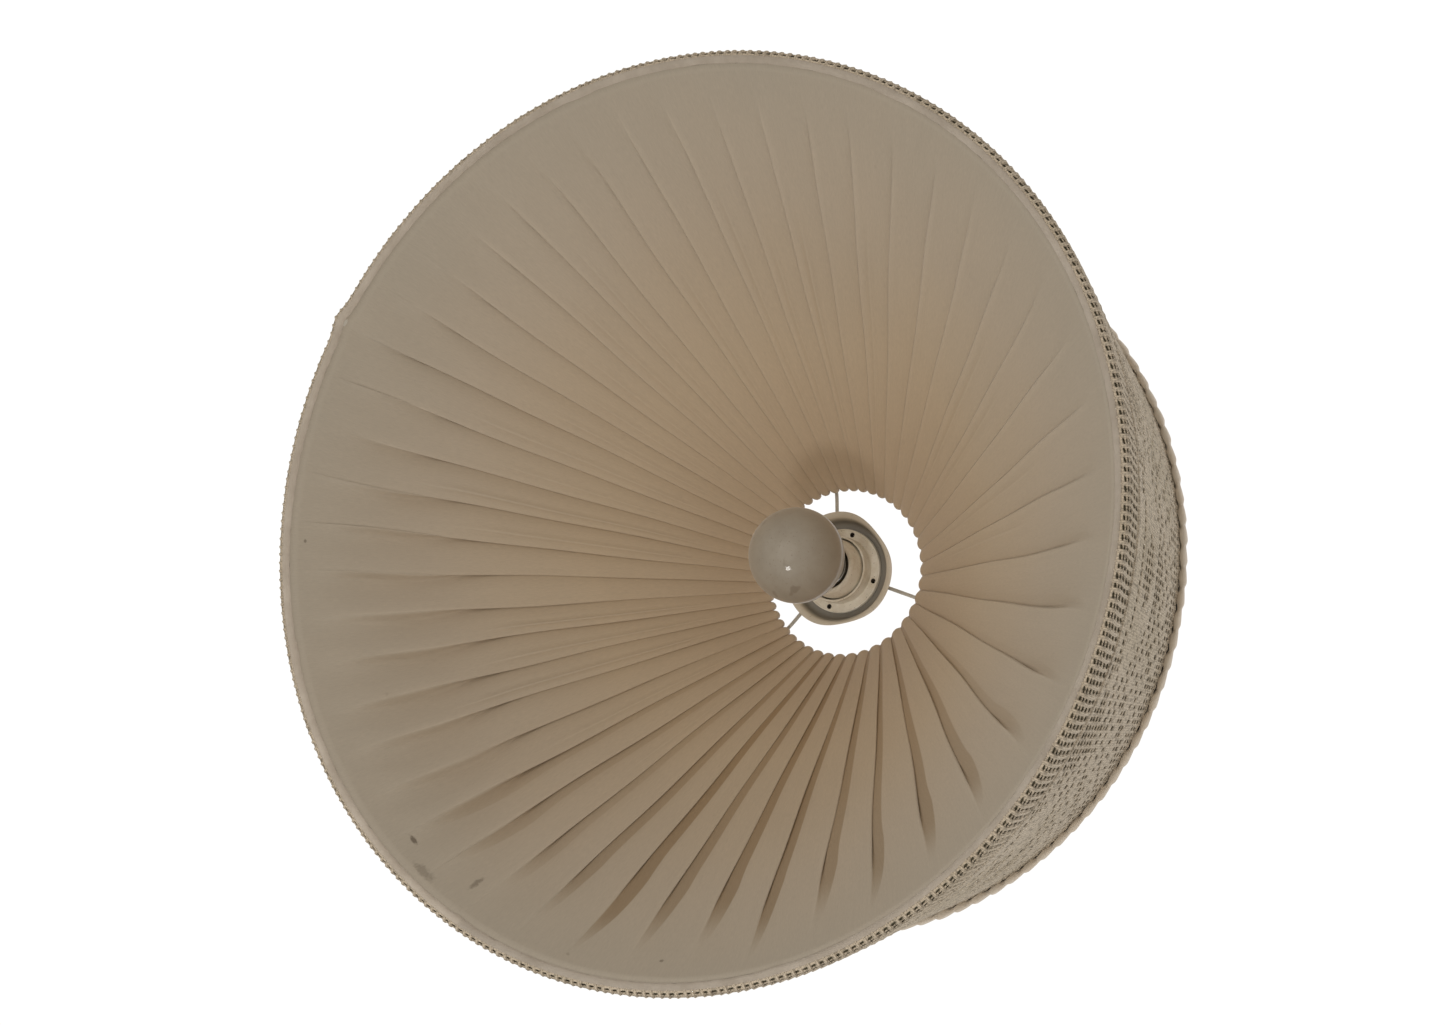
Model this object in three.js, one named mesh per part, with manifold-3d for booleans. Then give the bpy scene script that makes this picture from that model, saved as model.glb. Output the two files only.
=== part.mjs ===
// A pendant lamp shade, 55 cm across its mouth: a round wire frame covered outside with crocheted
// lace and lined inside with satin that is pleated in to a small fitter ring. A spider of three
// wires carries the lampholder and its bulb on the shade's axis.
//
// Millimetres, +Z up as the shade hangs, mouth down. The origin is the centre of the mouth, on the
// plane that the bottom edge rests on. Every wire that is welded on the real frame stops a short
// gap from its neighbour, so that each one stays a solid of its own.

import * as THREE from 'three';
import { mergeVertices } from 'three/addons/utils/BufferGeometryUtils.js';
import Module from 'manifold-3d';

// Driving dimensions
const mouthRadius = 275;
const topRadius = 226;
const topHeight = 229;
const ribCount = 8;
const spokeCount = 4;
const armCount = 3;
const armTurn = THREE.MathUtils.degToRad(21);
const gap = 0.3;
const fabric = 1;

// Frame wires, by radius
const bottomWire = 2.5;
const ringWire = 2;
const ribWire = 1.5;
const armWire = 1.2;

// The bottom ring and the roll of cover round it. The roll is a run of chords with one of them
// flat on the ground, so its centre stands at the roll's radius times the cosine of half a step.
const rollRadius = 4;
const rollStep = THREE.MathUtils.degToRad(30);
const bottomRingRadius = mouthRadius - rollRadius;
const bottomRingHeight = rollRadius * Math.cos(rollStep / 2);

const topRingRadius = topRadius - 3.6;
const topRingHeight = topHeight - 1.4;
const fitterRadius = 58;
const fitterHeight = 236;

// The spider's cup, and the lampholder from its mouth upwards
const cupFloor = 232.2;
const cupRadius = 36.9;
const cupDepth = 7.2;
const cupWall = 1;
const seatRadius = 19.8;
const skirtRadius = 19.1;
const skirtBore = 15.4;
const mouthBore = 14.9;
const mouthHeight = 208;
const skirtTop = 245.5;
const shoulderRadius = 22.5;
const insertHeight = 246.5;
const insertThickness = 7.5;
const capHeight = 267.6;
const gripTop = 281;
const cordBore = 3.4;

// The bulb
const globeRadius = 30;
const globeHeight = 164;
const glassWall = 0.9;
const neckRadius = 11.6;
const capRadius = 12.7;

const around = 48;
const aroundSmall = 24;
const aroundScrew = 12;

// Finishes
function finish(colour, roughness, metalness = 0) {
  return new THREE.MeshStandardMaterial({ color: colour, roughness, metalness });
}

const coverLace = finish(0xd9d6c8, 0.9);
const liningSatin = finish(0xd9c9ae, 0.55);
const hemTape = finish(0xe6dacb, 0.85);
const bindingTape = finish(0xe4d8bf, 0.9);
const frameWire = finish(0xcfccc4, 0.5, 0.3);
const whiteEnamel = finish(0xe9e4da, 0.35);
const whitePlastic = finish(0xf0ece2, 0.4);
const porcelain = finish(0xf2efe8, 0.25);
const brass = finish(0xb89a5a, 0.35, 1);
const frostedGlass = finish(0xe8e2d6, 0.6);
const capMetal = finish(0xc8c8c6, 0.35, 1);
const blackGlass = finish(0x14120f, 0.2);

// Geometry helpers

// One closed skin with shared corners, its faces turned outwards.
function closed(geometry) {
  geometry.deleteAttribute('normal');
  geometry.deleteAttribute('uv');
  const welded = mergeVertices(geometry, 1e-4);
  const position = welded.getAttribute('position');
  const index = welded.getIndex();
  const [a, b, c] = [new THREE.Vector3(), new THREE.Vector3(), new THREE.Vector3()];
  const kept = [];
  let volume = 0;
  for (let i = 0; i < index.count; i += 3) {
    const corners = [index.getX(i), index.getX(i + 1), index.getX(i + 2)];
    if (new Set(corners).size < 3) continue;
    a.fromBufferAttribute(position, corners[0]);
    b.fromBufferAttribute(position, corners[1]);
    c.fromBufferAttribute(position, corners[2]);
    volume += a.dot(b.cross(c));
    kept.push(...corners);
  }
  if (volume < 0) kept.reverse();
  welded.setIndex(kept);
  welded.computeVertexNormals();
  return welded;
}

// A body of revolution about +Z from [radius, height] corners, which close on themselves or start
// and end on the axis.
function turned(corners, segments) {
  const onAxis = corners[0][0] === 0;
  const loop = onAxis ? corners : [...corners, corners[0]];
  const points = loop.map(([radius, height]) => new THREE.Vector2(radius, height));
  return closed(new THREE.LatheGeometry(points, segments).rotateX(Math.PI / 2));
}

// The closed outline of a skin: the line of [radius, height] points, moved half the thickness to
// each side.
function skin(line, thickness) {
  const points = line.map(([radius, height]) => new THREE.Vector2(radius, height));
  const left = [];
  const right = [];
  points.forEach((point, i) => {
    const before = points[Math.max(i - 1, 0)];
    const after = points[Math.min(i + 1, points.length - 1)];
    const along = after.clone().sub(before).normalize();
    const aside = new THREE.Vector2(-along.y, along.x).multiplyScalar(thickness / 2);
    left.push([point.x + aside.x, point.y + aside.y]);
    right.unshift([point.x - aside.x, point.y - aside.y]);
  });
  return [...left, ...right];
}

// Points on an arc, angles in degrees, measured from the outward direction.
function arc(centre, radius, from, to, steps) {
  const points = [];
  for (let i = 0; i <= steps; i += 1) {
    const angle = THREE.MathUtils.degToRad(from + ((to - from) * i) / steps);
    points.push([centre[0] + radius * Math.cos(angle), centre[1] + radius * Math.sin(angle)]);
  }
  return points;
}

// A straight round bar between two [radius, height] points in the XZ plane.
function bar(from, to, radius, sides) {
  const a = new THREE.Vector3(from[0], 0, from[1]);
  const b = new THREE.Vector3(to[0], 0, to[1]);
  const along = b.clone().sub(a);
  const geometry = new THREE.CylinderGeometry(radius, radius, along.length(), sides);
  const turn = new THREE.Quaternion().setFromUnitVectors(
    new THREE.Vector3(0, 1, 0),
    along.normalize(),
  );
  geometry.applyQuaternion(turn).translate(...a.add(b).multiplyScalar(0.5).toArray());
  return closed(geometry);
}

// A round wire bent along a smooth curve through [radius, height] points in the XZ plane.
function bentWire(route, radius, sides, steps) {
  const points = route.map(([x, z]) => new THREE.Vector3(x, 0, z));
  const section = new THREE.Shape();
  for (let i = 0; i < sides; i += 1) {
    const angle = (2 * Math.PI * i) / sides;
    const [x, y] = [radius * Math.cos(angle), radius * Math.sin(angle)];
    if (i === 0) section.moveTo(x, y);
    else section.lineTo(x, y);
  }
  section.closePath();
  const extrudePath = new THREE.CatmullRomCurve3(points, false, 'centripetal');
  return closed(new THREE.ExtrudeGeometry(section, { steps, extrudePath, bevelEnabled: false }));
}

// A strip of the given width across Y, bent to an outline of [x, z] corners.
function strip(corners, width) {
  const shape = new THREE.Shape(corners.map(([x, z]) => new THREE.Vector2(x, z)));
  const geometry = new THREE.ExtrudeGeometry(shape, { depth: width, bevelEnabled: false });
  geometry.translate(0, 0, -width / 2).rotateX(Math.PI / 2);
  return closed(geometry);
}

// Booleans
const solids = await Module();
solids.setup();

function toSolid(geometry) {
  return new solids.Manifold(new solids.Mesh({
    numProp: 3,
    vertProperties: new Float32Array(geometry.getAttribute('position').array),
    triVerts: new Uint32Array(geometry.getIndex().array),
  }));
}

// The body with every tool cut out of it.
function cut(body, tools) {
  const left = tools.reduce((solid, tool) => solid.subtract(toSolid(tool)), toSolid(body));
  const mesh = left.getMesh();
  const geometry = new THREE.BufferGeometry();
  geometry.setAttribute('position', new THREE.BufferAttribute(mesh.vertProperties, 3));
  geometry.setIndex(new THREE.BufferAttribute(mesh.triVerts, 1));
  return closed(geometry);
}

// Assembly
const lampShade = new THREE.Group();
lampShade.name = 'lamp_shade';

function add(name, geometry, material, parent = lampShade) {
  const mesh = new THREE.Mesh(geometry, material);
  mesh.name = name;
  parent.add(mesh);
  return mesh;
}

// A group turned about the axis, for what repeats round the shade.
function sector(angle) {
  const group = new THREE.Group();
  group.rotation.z = angle;
  lampShade.add(group);
  return group;
}

// The cover's outer face is a straight line from the bottom roll to the top edge.
function coverRadiusAt(height) {
  const rise = (height - bottomRingHeight) / (topHeight - bottomRingHeight);
  return THREE.MathUtils.lerp(mouthRadius, topRadius, rise);
}

const coverLean = Math.atan2(mouthRadius - topRadius, topHeight - bottomRingHeight);

function addFrame() {
  const bottom = new THREE.TorusGeometry(bottomRingRadius, bottomWire, 6, around);
  add('bottom_ring', closed(bottom), frameWire).position.z = bottomRingHeight;
  const top = new THREE.TorusGeometry(topRingRadius, ringWire, 6, around);
  add('top_ring', closed(top), frameWire).position.z = topRingHeight;
  const fitter = new THREE.TorusGeometry(fitterRadius, ringWire, 6, around);
  add('fitter_ring', closed(fitter), frameWire).position.z = fitterHeight;

  // The ribs stand just inside the cover.
  const inset = (fabric + gap + ribWire + 0.2) / Math.cos(coverLean);
  const foot = bottomRingHeight + bottomWire + ribWire;
  const head = topRingHeight - ringWire - 0.7;
  const rib = bar([coverRadiusAt(foot) - inset, foot], [coverRadiusAt(head) - inset, head], ribWire, 8);
  for (let i = 0; i < ribCount; i += 1) {
    add(`rib_${i + 1}`, rib, frameWire, sector((2 * Math.PI * i) / ribCount));
  }

  // The spokes run in from the top ring to the outside of the fitter ring.
  const spoke = bar(
    [topRingRadius - ringWire - gap, topRingHeight - 1.2],
    [fitterRadius + ringWire + gap, fitterHeight + 0.4],
    ribWire,
    8,
  );
  for (let i = 0; i < spokeCount; i += 1) {
    add(`top_spoke_${i + 1}`, spoke, frameWire, sector((2 * Math.PI * i) / spokeCount));
  }
}

function addSpider() {
  // Each arm lies over the fitter ring and dips to the back of the cup.
  const overRing = fitterHeight + ringWire + armWire + gap;
  const onCup = cupFloor + cupWall + armWire + gap;
  const arm = bentWire(
    [[fitterRadius + 1, overRing], [fitterRadius - 7, overRing - 0.4], [cupRadius, onCup + 0.8], [25.5, onCup]],
    armWire,
    8,
    8,
  );
  for (let i = 0; i < armCount; i += 1) {
    add(`spider_arm_${i + 1}`, arm, frameWire, sector(armTurn + (2 * Math.PI * i) / armCount));
  }

  const half = cupWall / 2;
  const cup = skin(
    [
      [seatRadius + half, cupFloor + half],
      [29.2, cupFloor + half],
      [33.6, cupFloor - 2.2],
      [cupRadius - 1, cupFloor - cupDepth + 1],
      [cupRadius - half * 0.5, cupFloor - cupDepth + half],
    ],
    cupWall,
  );
  add('spider_cup', turned(cup, aroundSmall * 1.5), whiteEnamel);
}

function addLampholder() {
  // The front skirt carries the outside thread and the mouth that the bulb goes into.
  const skirt = turned([
    [mouthBore, mouthHeight + 0.4],
    [mouthBore + 0.9, mouthHeight],
    [17.5, mouthHeight + 2.2],
    [skirtRadius, mouthHeight + 11],
    [skirtRadius, skirtTop],
    [skirtBore, skirtTop],
    [skirtBore, mouthHeight + 4],
    [mouthBore, mouthHeight + 3],
  ], aroundSmall);
  add('holder_skirt', skirt, whitePlastic);

  // The shade ring screws up the skirt and clamps the cup against the holder's shoulder.
  const collar = [skirtRadius + 0.4, 21.4];
  const flangeRadius = 27.3;
  const flange = [cupFloor - gap - 2.5, cupFloor - gap];
  const blank = turned([
    [collar[0], flange[0] - 10],
    [collar[1], flange[0] - 10],
    [collar[1], flange[0]],
    [flangeRadius, flange[0]],
    [flangeRadius, flange[1]],
    [collar[0], flange[1]],
  ], aroundSmall * 1.5);
  const spannerHoles = [];
  for (let i = 0; i < 4; i += 1) {
    const drill = new THREE.CylinderGeometry(1.45, 1.45, 8, aroundScrew).rotateX(Math.PI / 2);
    drill.translate(24.1, 0, flange[0]).rotateZ(THREE.MathUtils.degToRad(-11) + (Math.PI * i) / 2);
    spannerHoles.push(closed(drill));
  }
  add('shade_ring', cut(blank, spannerHoles), whitePlastic);

  const shoulder = cupFloor + cupWall + gap;
  const body = turned([
    [skirtRadius + 0.4, shoulder],
    [shoulderRadius, shoulder],
    [shoulderRadius, 256],
    [15, capHeight],
    [5.2, capHeight],
    [5.2, capHeight - 2.6],
    [13, capHeight - 3.4],
    [skirtRadius + 0.4, 256],
  ], aroundSmall);
  add('holder_body', body, whitePlastic);

  const grip = turned([
    [cordBore, capHeight - 8],
    [4.8, capHeight - 8],
    [4.8, capHeight + gap],
    [8.4, capHeight + gap],
    [8.4, capHeight + 8],
    [6.6, gripTop],
    [cordBore, gripTop],
  ], aroundSmall);
  const screwHeight = capHeight + 4.5;
  const tapped = bar([4, screwHeight], [12, screwHeight], 1.7, aroundScrew);
  add('cord_grip', cut(grip, [tapped]), whitePlastic);
  add('grip_screw', bar([4.1, screwHeight], [9.4, screwHeight], 1.35, aroundScrew), whitePlastic);

  add('contact_insert', turned([
    [0, insertHeight],
    [18.6, insertHeight],
    [18.6, insertHeight + insertThickness],
    [0, insertHeight + insertThickness],
  ], aroundSmall), porcelain);

  const shellBore = 13.3;
  const shellWall = 0.5;
  add('thread_shell', turned([
    [shellBore, mouthHeight + 5],
    [shellBore + shellWall, mouthHeight + 5],
    [shellBore + shellWall, insertHeight - 6],
    [shellBore, insertHeight - 6],
  ], aroundSmall), brass);

  // The side contact hangs from the insert and lies against the shell.
  const sideRadius = shellBore + shellWall + gap;
  add('side_contact', strip([
    [sideRadius, insertHeight - 12],
    [sideRadius + 0.5, insertHeight - 12],
    [sideRadius + 0.5, insertHeight - gap],
    [sideRadius, insertHeight - gap],
  ], 4), brass);

  // The centre contact is a bent tongue with room above it to give.
  const tongue = insertHeight - 5.1;
  const root = insertHeight - 1.6;
  add('centre_contact', strip([
    [-7, root],
    [-7, root - 0.5],
    [-4.5, root - 0.5],
    [-3, tongue],
    [3, tongue],
    [3, tongue + 0.5],
    [-2.7, tongue + 0.5],
    [-4.2, root],
  ], 5), brass);

  const insertTop = insertHeight + insertThickness + gap;
  const screw = turned([
    [0, insertTop],
    [1.6, insertTop],
    [1.6, insertTop + 2.4],
    [2.8, insertTop + 2.4],
    [2.8, insertTop + 4.6],
    [0, insertTop + 4.6],
  ], aroundScrew);
  [-9, 9].forEach((offset, i) => {
    add(`terminal_screw_${i + 1}`, screw, brass).position.x = offset;
  });
}

function addBulb() {
  // The glass is one skin from the tip round the globe to the neck, open inside the cap.
  const tip = 4;
  const globe = arc([0, globeHeight], globeRadius, -90, 42, 8);
  const neckLine = [[15.2, 196.5], [13.4, 204.5], [neckRadius, 208.6], [neckRadius, 214.5]];
  const inner = arc([0, globeHeight], globeRadius - glassWall, -90, 42, 8);
  const innerNeck = neckLine.map(([radius, height]) => [radius - glassWall, height]);
  globe[0][0] = 0;
  inner[0][0] = 0;
  const glass = [...globe, ...neckLine, ...innerNeck.reverse(), ...inner.reverse()];
  add('bulb_glass', turned(glass, aroundSmall + tip * 2), frostedGlass);

  const capWall = 0.4;
  add('bulb_cap', turned([
    [capRadius - capWall, 209],
    [capRadius, 209],
    [capRadius, 233],
    [9.4, 235.6],
    [5.2, 235.6],
    [5.2, 235.2],
    [9.2, 235.2],
    [capRadius - capWall, 232.6],
  ], aroundSmall), capMetal);

  add('bulb_insulator', turned([
    [0, 235.9],
    [9, 235.9],
    [4.4, 239.2],
    [0, 239.2],
  ], aroundSmall), blackGlass);

  add('bulb_contact', turned([
    [0, 239.5],
    [4, 239.5],
    [3.2, 240.7],
    [0, 241],
  ], aroundSmall), capMetal);
}

function addTextiles() {
  // The cover runs down the outside, rolls under the bottom ring and ends inside it.
  const roll = arc([bottomRingRadius, bottomRingHeight], rollRadius - fabric / 2, 195, 375, 6);
  const rim = [coverRadiusAt(topHeight) - fabric / 2, topHeight];
  add('outer_cover', turned(skin([...roll, rim], fabric), around), coverLace);

  // The lining runs straight from inside the bottom ring to the fitter ring, and passes under it
  // to its inner side.
  add('lining', turned(skin([
    [mouthRadius - 9.6, bottomRingHeight + 0.3],
    [fitterRadius + 6, fitterHeight - 6.2],
    [fitterRadius + 1, fitterHeight - 3.3],
    [fitterRadius - 2.4, fitterHeight - 1.8],
    [fitterRadius - 3.4, fitterHeight + 1.5],
  ], fabric), around), liningSatin);

  const hem = arc([0, 0], 1, 0, 300, 5).map(([x, y]) => [mouthRadius - 10.5 + 2 * x, 1.7 + 1.1 * y]);
  add('lining_hem', turned(hem, around), hemTape);

  // The binding is laid over the top ring and the cover's top edge.
  const clear = gap + fabric / 2;
  const legBottom = topHeight - 5.5;
  add('top_binding', turned(skin([
    [coverRadiusAt(legBottom) + clear, legBottom],
    [coverRadiusAt(topHeight) + clear, topHeight + 0.2],
    [topRadius - 0.9, topHeight + 1.6],
    [topRingRadius, topHeight + 1.9],
    [topRingRadius - 2.7, topRingHeight + 1.8],
  ], fabric), around), bindingTape);
}

addFrame();
addSpider();
addLampholder();
addBulb();
addTextiles();

export default lampShade;
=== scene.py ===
"""The looks of a pendant lamp shade, 55 cm across its mouth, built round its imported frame.

Metres, +Z up as the shade hangs, mouth down. The outside is crocheted lace, the inside is satin
pleated in to a small fitter ring, and a spider carries the lampholder and its bulb.
"""

import math
import random

import bmesh
import bpy
import numpy as np
from mathutils import Matrix, Vector


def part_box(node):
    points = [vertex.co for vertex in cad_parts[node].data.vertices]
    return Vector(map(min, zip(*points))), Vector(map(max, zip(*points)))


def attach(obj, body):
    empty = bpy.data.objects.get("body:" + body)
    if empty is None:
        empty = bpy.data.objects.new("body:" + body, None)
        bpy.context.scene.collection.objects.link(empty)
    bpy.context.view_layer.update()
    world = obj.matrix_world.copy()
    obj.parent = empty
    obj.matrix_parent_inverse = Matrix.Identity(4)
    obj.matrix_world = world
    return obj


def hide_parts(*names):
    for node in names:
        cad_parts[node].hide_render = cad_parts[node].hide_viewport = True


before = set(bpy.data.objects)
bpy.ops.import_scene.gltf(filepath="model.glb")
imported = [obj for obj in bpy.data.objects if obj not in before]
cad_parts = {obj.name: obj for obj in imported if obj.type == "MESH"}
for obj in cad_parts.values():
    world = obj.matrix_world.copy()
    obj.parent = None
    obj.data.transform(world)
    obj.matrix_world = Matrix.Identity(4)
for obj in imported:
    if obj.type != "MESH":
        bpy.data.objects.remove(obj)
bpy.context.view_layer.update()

MM = 0.001
TURN = 2 * math.pi

# Sizes from the frame, and the radii of its wires
MOUTH_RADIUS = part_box("outer_cover")[1].x
TOP_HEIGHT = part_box("outer_cover")[1].z
TOP_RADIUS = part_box("top_binding")[1].x - 1.3 * MM
BOTTOM_WIRE = 2.5 * MM
RING_WIRE = 2.0 * MM
RIB_WIRE = 1.5 * MM
ARM_WIRE = 1.2 * MM


def ring_centre(node, wire):
    """The radius and height of the centre line of a round wire ring."""
    low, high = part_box(node)
    return high.x - wire, (low.z + high.z) / 2


BOTTOM_RING = ring_centre("bottom_ring", BOTTOM_WIRE)
TOP_RING = ring_centre("top_ring", RING_WIRE)
FITTER_RING = ring_centre("fitter_ring", RING_WIRE)
CUP_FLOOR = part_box("spider_cup")[1].z - 1.0 * MM
CUP_RADIUS = 36.9 * MM
GLOBE_RADIUS = 30      # mm
GLOBE_HEIGHT = 164     # mm
RIB_COUNT = 8
SPOKE_COUNT = 4
ARM_COUNT = 3
ARM_TURN = math.radians(21)


# ---------------------------------------------------------------- camera, floor and light

def make_camera():
    """Looks up into the mouth from below and to one side, with the camera rolled."""
    bearing = Matrix.Rotation(math.radians(-9.6), 3, "Z")
    place = bearing @ Vector((0, -0.8583, -1.4952))
    aim = bearing @ Vector((-0.0096, 0, 0.056))
    roll = math.radians(109.7)
    data = bpy.data.cameras.new("camera")
    data.lens, data.sensor_width = 74.74, 36
    data.clip_end = 50
    camera = bpy.data.objects.new("camera", data)
    bpy.context.collection.objects.link(camera)
    look = (aim - place).to_track_quat("-Z", "Y").to_matrix() @ Matrix.Rotation(roll, 3, "Z")
    camera.matrix_world = Matrix.Translation(place) @ look.to_4x4()
    bpy.context.scene.camera = camera


def area_light(name, bearing, rise, distance, size, power, colour, aim_height=0.1):
    """A square soft light that looks at the shade. Angles in degrees."""
    data = bpy.data.lights.new(name, "AREA")
    data.size = size
    data.energy = power
    data.color = colour
    lamp = bpy.data.objects.new(name, data)
    bpy.context.collection.objects.link(lamp)
    a, e = math.radians(bearing), math.radians(rise)
    way = Vector((math.cos(a) * math.cos(e), math.sin(a) * math.cos(e), math.sin(e)))
    lamp.location = way * distance + Vector((0, 0, aim_height))
    lamp.rotation_euler = way.to_track_quat("Z", "Y").to_euler()


def studio_walls():
    """White walls that light the shade a little less than they show."""
    world = bpy.data.worlds.new("studio")
    world.use_nodes = True
    tree = world.node_tree
    seen = tree.nodes["Background"]
    seen.inputs["Color"].default_value = (1.0, 0.99, 0.98, 1)
    seen.inputs["Strength"].default_value = 1.05
    lighting = tree.nodes.new("ShaderNodeBackground")
    lighting.inputs["Color"].default_value = (1.0, 0.975, 0.94, 1)
    lighting.inputs["Strength"].default_value = 0.66
    ray = tree.nodes.new("ShaderNodeLightPath")
    either = tree.nodes.new("ShaderNodeMixShader")
    tree.links.new(ray.outputs["Is Camera Ray"], either.inputs[0])
    tree.links.new(lighting.outputs[0], either.inputs[1])
    tree.links.new(seen.outputs[0], either.inputs[2])
    tree.links.new(either.outputs[0], tree.nodes["World Output"].inputs[0])
    return world


FLOOR_REACH = 10
FLOOR_HEIGHT = -3


def make_surroundings():
    """White walls, a floor well below, a cool window, warm light from below and a small lamp."""
    scene = bpy.context.scene
    scene.view_settings.view_transform = "Standard"
    scene.world = studio_walls()
    mesh = bpy.data.meshes.new("floor")
    corners = ((-1, -1), (1, -1), (1, 1), (-1, 1))
    mesh.from_pydata([(x * FLOOR_REACH, y * FLOOR_REACH, FLOOR_HEIGHT) for x, y in corners],
                     [], [(0, 1, 2, 3)])
    floor = bpy.data.objects.new("floor", mesh)
    bpy.context.collection.objects.link(floor)
    pale = Finish("pale_floor", **{"Base Color": shade(226, 219, 208), "Roughness": 0.9})
    mesh.materials.append(pale.material)
    area_light("window", 65.4, -20, 3.2, 0.3, 3, (0.78, 0.92, 1.0))
    area_light("bounce", -100, -88, 1.9, 1.5, 3.5, (1.0, 0.93, 0.84))
    area_light("small_lamp", -31.7, -50.9, 1.2, 0.2, 1.6, (1.0, 0.98, 0.94), 0.164)


# ---------------------------------------------------------------- shader helpers

def shade(red, green, blue):
    """A colour given as it looks on a screen, 0 to 255, as the shader's linear one."""
    def linear(level):
        level /= 255
        return level / 12.92 if level <= 0.04045 else ((level + 0.055) / 1.055) ** 2.4
    return (linear(red), linear(green), linear(blue), 1)


class Wire:
    """One output of a shader node. Each operator on it adds the Math node that does the sum."""

    def __init__(self, finish, socket):
        self.finish = finish
        self.socket = socket

    def _sum(self, operation, *values):
        return self.finish.node("ShaderNodeMath", {"operation": operation}, dict(enumerate(values)))

    def __add__(self, other):
        return self._sum("ADD", self, other)

    __radd__ = __add__

    def __sub__(self, other):
        return self._sum("SUBTRACT", self, other)

    def __rsub__(self, other):
        return self._sum("SUBTRACT", other, self)

    def __mul__(self, other):
        return self._sum("MULTIPLY", self, other)

    __rmul__ = __mul__

    def __truediv__(self, other):
        return self._sum("DIVIDE", self, other)

    def sine(self):
        return self._sum("SINE", self)


class Finish:
    """A material: one Principled shader, and the nodes that drive it."""

    def __init__(self, name, **sockets):
        self.material = bpy.data.materials.new(name)
        self.material.use_nodes = True
        self.tree = self.material.node_tree
        self.tree.nodes.clear()
        output = self.tree.nodes.new("ShaderNodeOutputMaterial")
        self.shader = self.tree.nodes.new("ShaderNodeBsdfPrincipled")
        self.tree.links.new(self.shader.outputs[0], output.inputs[0])
        self.set(**sockets)

    def set(self, **sockets):
        for name, value in sockets.items():
            self.plug(self.shader.inputs[name], value)

    def looks(self, colour, roughness, normal):
        self.set(**{"Base Color": colour, "Roughness": roughness, "Normal": normal})
        return self.material

    def plug(self, socket, value):
        if isinstance(value, Wire):
            self.tree.links.new(value.socket, socket)
        else:
            socket.default_value = value

    def node(self, kind, settings=None, sockets=None, output=0):
        """Adds any node: its settings first, then its sockets' values or links."""
        node = self.tree.nodes.new(kind)
        for name, value in (settings or {}).items():
            if name == "stops":
                self._set_stops(node.color_ramp, value)
            else:
                setattr(node, name, value)
        for name, value in (sockets or {}).items():
            self.plug(node.inputs[name], value)
        return Wire(self, node.outputs[output])

    @staticmethod
    def _set_stops(ramp, stops):
        while len(ramp.elements) < len(stops):
            ramp.elements.new(0.5)
        for element, (place, colour) in zip(ramp.elements, stops):
            element.position = place
            element.color = colour if hasattr(colour, "__len__") else (colour, colour, colour, 1)

    def place(self):
        return self.node("ShaderNodeTexCoord", output="Object")

    def cloth(self):
        """The piece's own cloth coordinates, in metres."""
        return self.node("ShaderNodeUVMap", {"uv_map": "cloth"})

    def part(self, vector, axis):
        return self.node("ShaderNodeSeparateXYZ", sockets={"Vector": vector}, output=axis)

    def stretched(self, vector, x, y, z=1.0):
        return self.node("ShaderNodeVectorMath", {"operation": "MULTIPLY"}, {0: vector, 1: (x, y, z)})

    def length(self, vector):
        return self.node("ShaderNodeVectorMath", {"operation": "LENGTH"}, {0: vector}, output="Value")

    def noise(self, vector, scale, detail=2.0, roughness=0.5):
        return self.node("ShaderNodeTexNoise", sockets={
            "Vector": vector, "Scale": scale, "Detail": detail, "Roughness": roughness})

    def weave(self, warp, weft):
        """-1 to 1: threads that cross at these spacings along the cloth."""
        across = self.part(self.cloth(), "X") * (TURN / warp)
        along = self.part(self.cloth(), "Y") * (TURN / weft)
        return across.sine() * along.sine()

    def ramp(self, value, *stops):
        return self.node("ShaderNodeValToRGB", {"stops": stops}, {"Fac": value})

    def mix(self, factor, a, b, blend="MIX"):
        settings = {"data_type": "RGBA", "blend_type": blend}
        return self.node("ShaderNodeMix", settings, {0: factor, 6: a, 7: b}, output=2)

    def bump(self, height, distance, strength=1.0, under=None):
        sockets = {"Height": height, "Distance": distance, "Strength": strength}
        if under is not None:
            sockets["Normal"] = under
        return self.node("ShaderNodeBump", sockets=sockets)


# ---------------------------------------------------------------- finishes

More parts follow.
